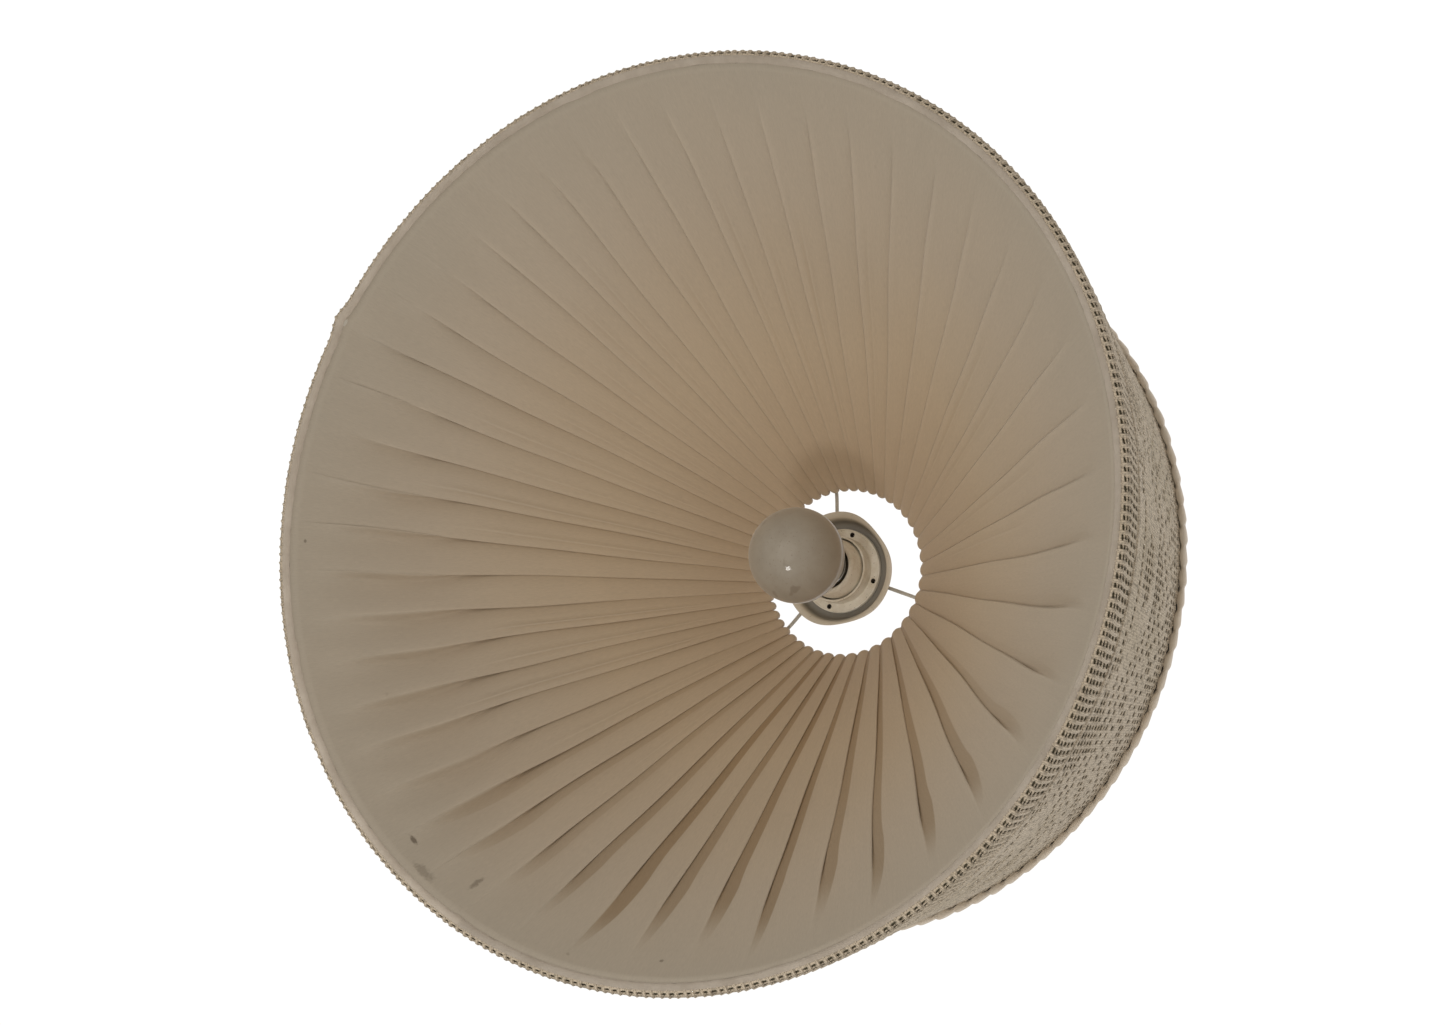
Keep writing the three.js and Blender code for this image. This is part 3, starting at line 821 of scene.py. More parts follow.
class Fold:
    """One fold's own character, drawn at random within what its side of the shade allows: deep where
    the cloth lies treble in broad bands of painted shade, soft where it hardly creases, and far where
    thin edges with a painted highlight run right in."""

    def __init__(self, angle, seam, ripple, chance):
        self.deep = deep = max(side_of_shade(angle, 318, 42), 0.45 * side_of_shade(angle, 0, 18))
        self.far = far = side_of_shade(angle, 168, 72)
        soft = side_of_shade(angle, 40, 28)
        draw = chance.random
        self.ripple = ripple
        self.start = 0.03 if seam else 0.07 + 0.12 * soft + 0.05 * draw()
        self.lip_height = (0.6 + 0.3 * deep + 0.1 * far + 0.35 * draw()) * MM
        self.valley = (0.35 + 0.2 * draw()) * MM * (1 - 0.7 * far) * (1 - 0.5 * deep)
        self.pocket = (0.25 + 0.25 * draw()) * MM * deep
        self.pocket_start = 0.05 + 0.07 * draw()
        self.widest = (8.5 + 3 * draw()) * MM * deep + (6 + 3 * draw()) * MM * (1 - deep)
        # dark is how strong the band's painted shade is; pale, below, how strong the edge's painted
        # highlight is.
        self.dark = (0.74 + 0.2 * draw()) * deep + (0.24 + 0.12 * draw()) * (1 - deep) * (1 - 0.8 * far)
        self.pale = 0.3 + 0.7 * far + 0.4 * draw()
        self.creased = (1 - deep) * (1 - 0.4 * far) * (draw() < 0.7) * (0.4 + 0.6 * draw())
        self.crease_start = 0.2 + 0.25 * draw()
        self.swell = (1.0 + 1.2 * soft - 0.3 * far - 0.7 * deep) * MM * (0.2 if seam else 1)

    def section(self, width, hidden, inward, wrap):
        """Across the fold at one row, column by column: how far along it lies, how high, the length of
        cloth run so far and its painted light, shade above 0 and highlight below 0. Each fold begins as
        a soft swell at the rim, sharpens into a knife pleat, and ends as a lobe round the fitter ring."""
        deep, far, first_dark = self.deep, self.far, self.pocket_start
        belly = math.sin(min(1.0, inward / 0.42) * math.pi / 2) * (1 - 0.62 * inward)
        low_lip = 0.25 + 0.75 * smooth_step(inward, 0.42, 0.85)
        lip = self.lip_height * belly * (1 - deep + deep * low_lip)
        open_here = smooth_step(inward, first_dark, 0.36) * (1 - smooth_step(inward, 0.38, 0.8))
        dip = self.valley * belly + self.pocket * open_here
        rise = min(1.0, max(0.0, (inward - first_dark + 0.04) / (0.3 - first_dark)))
        band = min(max(0.9 * MM, self.widest * rise * (1 - 0.8 * inward)), 0.34 * width)
        body = width - band
        edge = min(0.4 * MM, 0.3 * band)
        face = np.concatenate([body * FACE_SHARES, [body - edge, body + edge, width]])
        crease = self.creased * (smooth_step(inward, self.crease_start, self.crease_start + 0.15)
                                 * (1 - smooth_step(inward, 0.75, 0.93)))

        shown = smooth_step(inward, first_dark - 0.02, first_dark + 0.12)
        # Painted shade across the band where the next fold lies over this one.
        shadow = (CRISP_SHADOW * deep + GENTLE_SHADOW * (1 - deep)) * self.dark * shown
        # Painted highlight along the fold's edge.
        edge_highlight = self.pale * shown * (1 - 0.6 * inward)
        shadow[0] = -edge_highlight
        shadow[1] = -0.35 * edge_highlight
        # A crease painted as a lighter line with painted shade beside it.
        shadow[3:6] += np.array((0.35, -0.8, 0.1)) * crease
        painted_light = np.concatenate([shadow, [self.dark * shown] * 4, [0.0]])

        drop = CRISP_DROP * deep + (GENTLE_DROP * (1 - far) + FLAT_DROP * far) * (1 - deep)
        ridge = (0.3 + 0.5 * far - 0.2 * deep) * MM * belly * np.exp(-(face / (1.6 * MM)) ** 2)
        ridge[4] += 0.7 * MM * crease * min(1.0, width / (18 * MM))
        x = np.concatenate([face, width + HIDDEN_SHARES * hidden])
        h = np.concatenate([lip * 0.8 - (lip * 0.8 + dip) * drop + ridge,
                            [-dip - 0.35 * MM, -dip - 1.0 * MM, -dip - 1.0 * MM,
                             -dip - 0.6 * MM, lip * 0.3 - dip * 0.5 - 0.2 * MM]])
        h[0] -= 0.1 * MM

        run = np.concatenate([[0], np.cumsum(np.abs(np.diff(x)))])
        u = run / (run[-1] + 0.1 * hidden)
        phase = np.where(u < 0.8, u / 0.8 * math.pi, math.pi + (u - 0.8) / 0.2 * math.pi)
        knife = smooth_step(inward, self.start, self.start + 0.24 - 0.11 * far)
        fade = smooth_step(inward, 0.02, 0.14)
        x = x * knife + width * u * (1 - knife)
        h = h * knife + self.swell * fade * np.cos(phase) * (1 - knife)
        h += fade * 0.25 * MM * math.sin(9 * inward + self.ripple) * np.sin(math.pi * u)

        lobed = smooth_step(inward + 0.2 * wrap, 0.93, 1.08)
        if lobed > 0:
            across = np.abs(2 * np.clip(x / width, 0, 1) - 1)
            crown = 2.1 * MM * (1 - across ** 2.4) - 0.7 * MM
            inner = np.where(np.arange(FOLD_COLUMNS) < len(face), crown, -1.1 * MM)
            pinched = width / 2 + (np.clip(x, 0, width) - width / 2) * (1 - 0.16 * wrap)
            x = x * (1 - lobed) + lobed * pinched
            h = h * (1 - lobed) + lobed * (inner - 0.9 * MM * wrap * (across > 0.9))
        return x, h, run, painted_light


def lining():
    """The gathered satin, from the rim in to the fitter ring and round it."""
    chance = random.Random(47)
    angles = [fold_angle(i) for i in range(FOLD_COUNT)] + [fold_angle(0) + TURN]
    rows = lining_path()
    total = FOLD_COLUMNS * FOLD_COUNT
    points = np.zeros((len(rows), total, 3))
    cloth = np.zeros((len(rows), total, 2))
    painted_light = np.zeros((len(rows), total))
    wave = [[chance.uniform(0, TURN) for _ in range(4)] for _ in range(FOLD_COUNT + 1)]
    wave[FOLD_COUNT] = wave[0]

    def edge(i, inward):
        """The angle of a fold's edge, which wanders a little on its way in."""
        sway = math.radians(0.28) * inward * (1 - inward) * 4 * math.sin(5 * inward + wave[i][0])
        return angles[i] + sway + math.radians(0.1) * math.sin(17 * inward + wave[i][1])

    for i in range(FOLD_COUNT):
        fold = Fold(angles[i + 1], i + 1 == SEAM_FOLD, wave[i][2], chance)
        whole = LINING_RIM[0] * (angles[i + 1] - angles[i])
        mine = slice(i * FOLD_COLUMNS, (i + 1) * FOLD_COLUMNS)
        for row, (r, z, out_r, out_z, inward, wrap) in enumerate(rows):
            first = edge(i, inward)
            width = r * (edge(i + 1, inward) - first)
            hidden = max(0.25 * MM, min((whole - width) / 2, 0.8 * width))
            x, h, run, painted_light[row, mine] = fold.section(width, hidden, inward, wrap)
            turn = first + x / r
            reach = r + seam_bulge(turn) * (1 - inward) ** 24 + out_r * h
            points[row, mine] = np.stack([reach * np.cos(turn), reach * np.sin(turn), z + out_z * h],
                                         axis=1)
            cloth[row, mine, 0] = LINING_RIM[0] * angles[i] + run
            cloth[row, mine, 1] = row * ROW_CLOTH
    made = piece("pleated_lining", points.reshape(-1, 3), grid_faces(len(rows), total), SATIN_BACK,
                 slot="lining_satin", node="lining", cloth=cloth.reshape(-1, 2))
    made.data.materials.append(SATIN)
    # Each point keeps the folds' painted light: shade above 0, highlight below 0.
    stored = made.data.attributes.new("fold_tone", "FLOAT", "POINT")
    stored.data.foreach_set("value", painted_light.astype(np.float32).ravel())
    wall = thicken(made, CLOTH)
    wall.material_offset = 1
    frozen(made)


def seam_bulge(angle, height=0.0):
    """How far the edge stands out where the lining's and the cover's seams meet on it."""
    away = (angle - math.radians(90) + math.pi) % TURN - math.pi
    return 3.2 * MM * np.exp(-(away / math.radians(1.7)) ** 2) * max(0.0, 1 - height / (45 * MM))


HEM_FROM = math.radians(279)
HEM_TO = math.radians(211)


def lining_hem():
    """A tape that binds the lining's raw edge to the roll of the cover, frayed on its inner side."""
    chance = random.Random(12)
    count = 720
    steps = 5
    fray = [chance.uniform(-1, 1) for _ in range(count)]
    points, cloth = [], []
    for k in range(count):
        angle = TURN * k / count
        wander = (0.35 * math.sin(11 * angle) + 0.25 * math.sin(29 * angle + 1)
                  + 0.2 * math.sin(73 * angle))
        near_rib = math.cos(RIB_COUNT / 2 * angle) ** 200
        frayed = 0.05 * fray[k] + 0.03 * math.sin(151 * angle) + 0.25 * near_rib + 0.04 * wander
        outer_run, inner_run = [], []
        for n in range(steps + 1):
            a = HEM_FROM + (HEM_TO - HEM_FROM - frayed) * n / steps
            edge = math.sin(math.pi * n / steps)
            over = ROLL + (0.15 + 0.45 * edge + 0.25 * near_rib * edge) * MM
            outer_run.append((over, a))
            inner_run.append((ROLL - 0.1 * MM, a))
        for n, (distance, a) in enumerate(outer_run + inner_run[::-1]):
            r, height = on_arc((BOTTOM_RING[0] + seam_bulge(angle), BOTTOM_RING[1]), distance, a)
            points.append(at(r, height, angle))
            cloth.append((r * angle, n * 0.9 * MM))
    section = 2 * (steps + 1)
    faces = grid_faces(count, section, round_rows=True)
    made = piece("hem_tape", points, facing_out(points, faces), HEM, slot="hem_tape",
                 node="lining_hem", cloth=cloth)
    subdivide(made)
    frozen(made)


# ---------------------------------------------------------------- the lace cover

REPEATS = 8
STITCHES = 41
STITCH_COUNT = REPEATS * STITCHES
STITCH_WIDTH = TURN * MOUTH_RADIUS / STITCH_COUNT
ROLL = 4.3 * MM
BAND_TOP = 38 * MM
MOTIF_UNITS = 35       # across one repeat
MOTIF_MIDDLE = 66      # height of the diamonds' middles, in millimetres
ROLL_ROWS = 4
LOW_ROWS = 3
HIGH_ROWS = 21


def cover_radius(height):
    """The cover's outer face is a straight line from the bottom roll to the top edge."""
    foot = BOTTOM_RING[1]
    return MOUTH_RADIUS + (TOP_RADIUS - MOUTH_RADIUS) * (height - foot) / (TOP_HEIGHT - foot)


def lace_rows():
    """(radius, height) of each row's lower edge, from inside the bottom ring to the top."""
    rows = [on_arc(BOTTOM_RING, ROLL - 0.6 * MM, math.radians(258 + 102 * k / (ROLL_ROWS - 1)))
            for k in range(ROLL_ROWS)]
    foot = BOTTOM_RING[1] + 1.5 * MM
    for k in range(1, LOW_ROWS + 1):
        height = foot + (BAND_TOP - foot) * k / LOW_ROWS
        rows.append((cover_radius(height) - 0.5 * MM, height))
    for k in range(1, HIGH_ROWS + 1):
        height = BAND_TOP + (TOP_HEIGHT - 2 * MM - BAND_TOP) * k / HIGH_ROWS
        rows.append((cover_radius(height) - 0.5 * MM, height))
    return rows


def opening_in_lace(stitch, row, height, chance):
    """The hole in one stitch as (width share, height share, slant), or None where it is worked
    solid. Each repeat has a hatched diamond at its ends and hatched leaves under a chevron in
    its middle."""
    if row == 0:
        return None
    if row < ROLL_ROWS + LOW_ROWS - 1:
        return 0.58 + 0.06 * chance.random(), 0.94, 0.3
    along = abs(stitch % STITCHES - STITCHES // 2) * MOTIF_UNITS / STITCHES
    far = MOTIF_UNITS / 2 - along
    mm = height / MM
    pitch = (TOP_HEIGHT - BAND_TOP) / HIGH_ROWS / MM
    arch = MOTIF_MIDDLE - max(0.0, along - 6) ** 1.25 * 2.1
    chevron = 175 - 5.3 * min(along, 13) + 3.5 * max(0.0, along - 13)
    if abs(mm - arch) < pitch * 0.55 and along < 14:
        return 0.6, 0.88, 0.2
    if abs(mm - chevron) < pitch * 0.6 or abs(mm - chevron + 2 * pitch) < pitch * 0.5:
        return 0.6, 0.88, 0.1
    leaf = 15 * (1 - (along / 4.2) ** 2)
    if along < 4.2 and (abs(mm - 100) < leaf or 128 < mm < 156 - 5 * along):
        return 0.62, 0.96, 0.05
    diamond = far / 6.5 + abs(mm - MOTIF_MIDDLE) / 34
    if diamond < 0.95:
        return 0.62, 0.95, 0.35
    if 1.2 < diamond < 1.45:
        return 0.5, 0.7, 0.35
    trellis = (stitch + row) % 4 == 0 or (stitch - row) % 5 == 0
    if mm > chevron + 1.5 * pitch and (trellis or mm > TOP_HEIGHT / MM - 30):
        return 0.58 + 0.08 * chance.random(), 0.88, 0.1
    return None


def lace_cover():
    """The crochet, row by row, with a slanted hole wherever it is worked open."""
    chance = random.Random(296)
    rows = lace_rows()
    points, cloth, faces = [], [], []
    wander = [[chance.uniform(-1, 1) for _ in range(STITCH_COUNT)] for _ in rows]
    runs = [0.0]
    for (r0, z0), (r1, z1) in zip(rows, rows[1:]):
        runs.append(runs[-1] + math.hypot(r1 - r0, z1 - z0))

    def outward(row):
        (r0, z0), (r1, z1) = rows[max(row - 1, 0)], rows[min(row + 1, len(rows) - 1)]
        along = Vector((r1 - r0, z1 - z0)).normalized()
        return Vector((along.y, -along.x))

    def put(row, column, up, proud):
        """A point of the sheet, part of the way up from a row's edge, raised by proud."""
        low = Vector(rows[row])
        here = low.lerp(Vector(rows[row + 1]), up) if up else low
        way = outward(row) * (1 - up) + outward(min(row + 1, len(rows) - 1)) * up
        here = here + way * proud
        angle = TURN * column / STITCH_COUNT
        points.append(at(here.x + seam_bulge(angle, here.y), here.y, angle))
        step = runs[row + 1] - runs[row] if up else 0
        cloth.append((column * STITCH_WIDTH, runs[row] + up * step))
        return len(points) - 1

    corner = []
    for row in range(len(rows)):
        edge = row in (0, len(rows) - 1)
        corner.append([put(row, k + 0.07 * wander[row][k] * (not edge), 0,
                           0.0 if edge else 0.35 * MM + 0.15 * MM * wander[row][k])
                       for k in range(STITCH_COUNT)])
    for row in range(len(rows) - 1):
        height = (rows[row][1] + rows[row + 1][1]) / 2
        for k in range(STITCH_COUNT):
            beside = (k + 1) % STITCH_COUNT
            a, b = corner[row][k], corner[row][beside]
            c, d = corner[row + 1][beside], corner[row + 1][k]
            hole = opening_in_lace(k, row, height, chance)
            if hole is None:
                faces.append((a, b, c, d))
                continue
            wide, tall, slant = hole
            wide *= chance.uniform(0.85, 1.12)
            tall *= chance.uniform(0.88, 1.04)
            left, right = 0.5 - wide / 2, 0.5 + wide / 2
            low, high = 0.5 - tall / 2, 0.5 + tall / 2
            lean = slant * tall / 2
            inner = [put(row, k + x, up, -0.15 * MM) for x, up in (
                (left - lean, low + 0.14 * tall), (0.5 - lean, low),
                (right - lean, low + 0.14 * tall), (right + lean, high - 0.14 * tall),
                (0.5 + lean, high), (left + lean, high - 0.14 * tall))]
            faces += [(a, b, inner[2], inner[1], inner[0]), (b, c, inner[3], inner[2]),
                      (c, d, inner[5], inner[4], inner[3]), (d, a, inner[0], inner[5])]
    made = piece("lace_cover", points, faces, LACE, slot="cover_lace", node="outer_cover", cloth=cloth)
    thicken(made, 0.7 * MM)
    return frozen(made), runs[-1]


def cover_underlay():
    """The dark net behind the lace that hides the ribs, a sheet of painted shade for the openings to
    show.
    """
    count, steps = 240, 24
    rows = [on_arc(BOTTOM_RING, ROLL - 1.4 * MM, math.radians(a)) for a in (-80, -52, -24)]
    for k in range(steps + 1):
        height = 3.2 * MM + (TOP_HEIGHT - 4 * MM) * k / steps
        rows.append((cover_radius(height) - 1.05 * MM, height))
    points, cloth = [], []
    for r, height in rows:
        for n in range(count):
            angle = TURN * n / count
            points.append(at(r + seam_bulge(angle, height), height, angle))
            cloth.append((MOUTH_RADIUS * angle, height))
    made = piece("cover_underlay", points, grid_faces(len(rows), count), SHADE_NET, slot="cover_lace",
                 cloth=cloth)
    thicken(made, 0.2 * MM)
    return frozen(made)


def edge_posts():
    """The thick corded posts between the tall openings, from the roll up to the band's top."""
    route = []
    for k in range(4):
        r, height = on_arc(BOTTOM_RING, ROLL - 0.35 * MM, math.radians(266 + 90 * k / 3))
        route.append(Vector((r, 0, height)))
    for k in range(1, 6):
        height = 6 * MM + (BAND_TOP - 8 * MM) * k / 5
        route.append(Vector((cover_radius(height) - 0.2 * MM, 0.9 * MM * math.sin(k * 0.65), height)))
    radii = [r * MM for r in (0.7, 1.15, 1.2, 1.15, 1.3, 1.05, 1.3, 1.05, 0.6)]
    points, faces = tube_mesh(route, radii, 6)
    cloth = [(0.9 * MM * (n % 6), 5 * MM * (n // 6)) for n in range(len(points))]
    unit = unit_of(points, faces, cloth)
    made = round_the_axis("lace_edge_posts", unit, STITCH_COUNT, LACE, turn_jitter=0.0018, seed=5)
    for vertex in made.data.vertices:
        flat = vertex.co.xy
        vertex.co.xy = flat * (1 + seam_bulge(math.atan2(flat.y, flat.x), vertex.co.z) / flat.length)
    return settle(made, "shade")


def lace_ridges():
    """The crocheted rows that stand up between the bands: corded rings laid on the cover."""
    points, faces = [], []
    sides, count = 6, 592
    for height, radius in ((BAND_TOP + 1 * MM, 0.9 * MM), (TOP_HEIGHT - 9 * MM, 0.8 * MM)):
        start = len(points)
        for k in range(count):
            angle = TURN * k / count
            knot = 1 + 0.28 * math.cos(math.pi * k)
            rise = height + 0.5 * MM * math.sin(8 * angle) + 0.3 * MM * math.sin(37 * angle)
            middle = (cover_radius(rise) + 0.15 * MM, rise)
            points += [at(*on_arc(middle, radius * knot, TURN * n / sides), angle)
                       for n in range(sides)]
        faces += [tuple(start + i for i in face) for face in grid_faces(count, sides, round_rows=True)]
    cloth = [(MOUTH_RADIUS * TURN * (n // sides) / count, (n % sides) * 0.9 * MM)
             for n in range(len(points))]
    return piece("lace_ridges", points, facing_out(points, faces), LACE, slot="cover_lace", cloth=cloth)


# ---------------------------------------------------------------- the top binding

BINDING_TURNS = 114


def top_binding():
    """Tape wound on the slant over the top ring, each turn lapped on the last."""
    chance = random.Random(8)
    per_turn = 9
    count = BINDING_TURNS * per_turn
    lift = [chance.uniform(0.6, 1.3) for _ in range(BINDING_TURNS)]
    drop = [chance.uniform(-0.6, 0.6) for _ in range(BINDING_TURNS)]
    ring = Vector(TOP_RING)
    section = []
    for proud, below in ((0.2, 8.0), (1.6, 9.6), (3.2, 9.0), (3.9, 6.8), (3.6, 3.8)):
        height = TOP_HEIGHT - below * MM
        section.append((cover_radius(height) + proud * MM, height, 1.0, 0.0))
    for k in range(7):
        a = math.radians(15 + 165 * k / 6)
        across, up = math.cos(a), math.sin(a)
        section.append((ring.x + 1.4 * MM + 4.0 * MM * across, ring.y + 0.6 * MM + 3.0 * MM * up,
                        across, up))
    section.append((ring.x - 2.3 * MM, ring.y - 1.2 * MM, -1.0, -0.2))
    points, cloth = [], []
    steps = len(section)
    for k in range(count):
        for n, (r, z, way_r, way_z) in enumerate(section):
            lag = 0.62 * n / (steps - 1)
            place = k / per_turn + lag
            number = int(place) % BINDING_TURNS
            within = place % 1.0
            lap = 1.5 * MM * (within ** 0.7 if within < 0.88 else (1 - within) / 0.12 * 0.92)
            outer = max(0.0, 1 - n / 5) if n else 1.0
            scallop = math.sin(math.pi * within) ** 0.6
            flare = outer * scallop * 1.6 * MM * lift[number] * (n > 0)
            reach = outer * (1.6 * scallop * MM - 2.6 * MM * (1 - scallop) + drop[number] * 0.6 * MM)
            rise = lap + flare
            angle = TURN * k / count
            points.append(at(r + way_r * rise, z + way_z * rise - reach, angle))
            cloth.append((TOP_RADIUS * angle + lag * 12.5 * MM, n * 1.6 * MM))
    faces = grid_faces(count, steps, round_columns=False)
    last = (count - 1) * steps
    faces += [(last + n, last + n + 1, n + 1, n) for n in range(steps - 1)]
    made = piece("wound_binding", points, faces, BINDING, slot="binding_tape", node="top_binding",
                 cloth=cloth)
    make_normals_face_out(made)
    thicken(made, 0.5 * MM)
    subdivide(made)
    frozen(made)


# ---------------------------------------------------------------- wires

def ring_wire(name, centre, radius):
    """A welded ring of round wire."""
    count, sides = 300, 16
    points = []
    for k in range(count):
        angle = TURN * k / count
        points += [at(*on_arc(centre, radius, TURN * n / sides), angle) for n in range(sides)]
    faces = grid_faces(count, sides, round_rows=True)
    piece(name + "_wire", points, facing_out(points, faces), WIRE, slot="frame_wire", node=name)


def smooth_route(corners, steps):
    """Points on a smooth curve through a few (radius, height) corners."""
    corners = [Vector(c) for c in corners]
    padded = [corners[0] * 2 - corners[1]] + corners + [corners[-1] * 2 - corners[-2]]
    route = []
    for a, b, c, d in zip(padded, padded[1:], padded[2:], padded[3:]):
        for k in range(steps):
            t = k / steps
            route.append(0.5 * ((2 * b) + (c - a) * t + (2 * a - 5 * b + 4 * c - d) * t * t
                                + (3 * b - a - 3 * c + d) * t ** 3))
    return route + [corners[-1]]


def welded_wire(name, corners, radius, angle, node, weld, steps=10):
    """A wire in a plane through the axis, with a weld bead swelling at each end."""
    flat = smooth_route(corners, steps)
    route = [at(p.x, p.y, angle) for p in flat]
    count = len(route)
    radii = []
    for i in range(count):
        near = min(i, count - 1 - i) / (count - 1)
        radii.append(radius + weld * math.exp(-(near / 0.035) ** 2))
    tube(name, route, radii, 14, WIRE, slot="frame_wire", node=node)


def frame_wires():
    """Three rings, the ribs, the top spokes and the spider's arms."""
    ring_wire("bottom_ring", BOTTOM_RING, BOTTOM_WIRE)
    ring_wire("top_ring", TOP_RING, RING_WIRE)
    ring_wire("fitter_ring", FITTER_RING, RING_WIRE)
    low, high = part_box("rib_1")
    foot = (high.x - RIB_WIRE, low.z + 0.6 * MM)
    head = (low.x + RIB_WIRE, high.z - 0.4 * MM)
    middle = ((foot[0] + head[0]) / 2, (foot[1] + head[1]) / 2)
    for k in range(RIB_COUNT):
        welded_wire(f"rib_wire_{k + 1}", [foot, middle, head], RIB_WIRE, TURN * k / RIB_COUNT,
                    f"rib_{k + 1}", 0.5 * MM)
    spoke_low, spoke_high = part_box("top_spoke_1")
    outer = (spoke_high.x, spoke_low.z + RIB_WIRE)
    inner = (spoke_low.x + 0.4 * MM, spoke_high.z - RIB_WIRE)
    halfway = ((outer[0] + inner[0]) / 2, (outer[1] + inner[1]) / 2 - 1.2 * MM)
    for k in range(SPOKE_COUNT):
        welded_wire(f"spoke_wire_{k + 1}", [outer, halfway, inner], RIB_WIRE,
                    TURN * k / SPOKE_COUNT, f"top_spoke_{k + 1}", 0.6 * MM, 16)
    over_ring = FITTER_RING[1] + RING_WIRE + ARM_WIRE + 0.3 * MM
    on_cup = CUP_FLOOR + 2.5 * MM
    bent = [(FITTER_RING[0] + 1.2 * MM, over_ring), (FITTER_RING[0] - 7 * MM, over_ring - 0.4 * MM),
            (CUP_RADIUS, on_cup + 0.8 * MM), (25.2 * MM, on_cup)]
    for k in range(ARM_COUNT):
        welded_wire(f"arm_wire_{k + 1}", bent, ARM_WIRE, ARM_TURN + TURN * k / ARM_COUNT,
                    f"spider_arm_{k + 1}", 0.5 * MM, 9)


# ---------------------------------------------------------------- cup, lampholder and bulb

RING_PITCH = 2.9 * MM      # the thread that the shade ring runs on
CAP_PITCH = 3.6 * MM       # the thread of the bulb's cap
SKIRT_FOOT = 208           # heights in millimetres
SKIRT_HEAD = 245.5
GRIP_LOW, GRIP_HIGH = 237, 254
SPANNER_HOLES = 4


def scaled(corners):
    """Corners or points given in millimetres, in metres."""
    return [tuple(size * MM for size in corner) for corner in corners]


def spider_cup():
    """A pressed dish, pulled a little at its three arms, with a rolled edge."""
    floor = CUP_FLOOR / MM
    dish = [(19.8, floor, 0.3), (28.4, floor, 2.0), (31.2, floor - 0.8, 2.0),
            (32.6, floor - 5.4, 1.6), (33.6, floor - 6.9, 1.0), (35.8, floor - 7.5, 1.2),
            (36.9, floor - 7.0, 0.6), (36.5, floor - 6.2, 0.5), (34.2, floor - 5.6, 1.2),
            (33.2, floor - 3.2, 2.0), (32.0, floor + 0.5, 2.2), (28.8, floor + 1, 2.5),
            (19.8, floor + 1, 0.3)]

    def lobed(radius, height, angle):
        outer = max(0.0, radius / MM - 30) / 7
        pull = math.cos(3 * (angle - ARM_TURN))
        return radius + outer * (1.5 * pull + 0.3 * math.cos(6 * angle + 1)) * MM, height

    turned("cup_dish", rounded(scaled(dish)), 144, ENAMEL, change=lobed, slot="white_enamel",
           node="spider_cup")


def threaded(outline_band, depth, pitch):
    """A change for turned() that raises a helical thread of half the depth each way."""
    low, high = outline_band

    def change(radius, height, angle):
        if not low < height < high:
            return radius, height
        ends = min(1.0, (height - low) / pitch, (high - height) / pitch)
        return radius + depth / 2 * ends * math.sin(TURN * height / pitch - angle), height

    return change


def holder_skirt():
    """The round mouth that the bulb goes into, threaded outside for the shade ring."""
    foot, head = SKIRT_FOOT, SKIRT_HEAD
    mouth = [(14.9, foot + 0.5, 0.3), (15.3, foot, 0.4), (16.2, foot, 0.5), (17.6, foot + 1.6, 1.2),
             (19.0, foot + 10, 1.0)]
    outside = [(19.0, foot + 10 + 0.5 * k, 0) for k in range(1, 50)]
    inside = [(19.0, head, 0.3), (15.4, head, 0.3), (15.4, foot + 4, 0.3), (14.9, foot + 3, 0.3)]
    turned("holder_front_skirt", rounded(scaled(mouth + outside + inside)), 128, PLASTIC,
           change=threaded(((foot + 12) * MM, (head - 1.5) * MM), 0.5 * MM, RING_PITCH),
           slot="white_plastic", node="holder_skirt")


def shade_ring():
    """The flange and collar that clamp the cup, with holes for a spanner."""
    low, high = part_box("shade_ring")
    bottom, top, foot = high.z / MM - 2.5, high.z / MM, low.z / MM
    ring_corners = [(20.1, foot, 0.4), (21.4, foot, 0.6), (21.5, bottom - 0.4, 0.5),
                    (22.2, bottom, 0.5), (25.9, bottom + 0.1, 0.6), (26.4, bottom - 0.25, 0.3),
                    (27.2, bottom, 0.4), (27.3, top, 0.3), (19.6, top, 0.3)]
    made = turned("shade_ring_flange", rounded(scaled(ring_corners)), 160, PLASTIC)
    drills = []
    for k in range(SPANNER_HOLES):
        angle = math.radians(-11) + TURN * k / SPANNER_HOLES
        start = at(24.1 * MM, (bottom - 2) * MM, angle)
        route = [start + Vector((0, 0, rise * MM)) for rise in (0, 2, 3.9)]
        # Each drill leaves its near-black painted shade on the hole's walls.
        drills.append(tube(f"drill_{k}", route, 1.6 * MM, 20, HOLE_SHADE))
    for drill in drills:
        bore = made.modifiers.new("bore", "BOOLEAN")
        bore.object = drill
        bore.operation = "DIFFERENCE"
        bore.solver = "EXACT"
        bore.material_mode = "TRANSFER"
    frozen(made)
    for drill in drills:
        bpy.data.objects.remove(drill)
    smooth_all(made.data)
    made.data.set_sharp_from_angle(angle=math.radians(38))
    settle(made, "clamp_ring", "shade_ring")


def holder_back():
    """The back shell, with a ribbed band to hold it by."""
    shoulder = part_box("holder_body")[0].z / MM
    body = [(19.6, shoulder, 0.3), (21.8, shoulder, 0.4), (22.5, shoulder + 0.8, 0.5),
            (22.5, 255.5, 1.5), (21, 259, 3), (16, 266.2, 2), (14.4, 267.6, 0.8), (5.2, 267.6, 0.3),
            (5.2, 265, 0.3), (13, 264.2, 1), (19.6, 256, 1)]

    def ribbed(radius, height, angle):
        grip = 22 * MM < radius and GRIP_LOW * MM < height < GRIP_HIGH * MM
        return radius - (0.35 * MM * (0.5 + 0.5 * math.cos(48 * angle)) if grip else 0), height

    ribs = [(22.5, GRIP_LOW + k, 0) for k in range(1, 18)]
    turned("holder_back", rounded(scaled(body[:3] + ribs + body[3:])), 384, PLASTIC, change=ribbed,
           slot="white_plastic", node="holder_body")


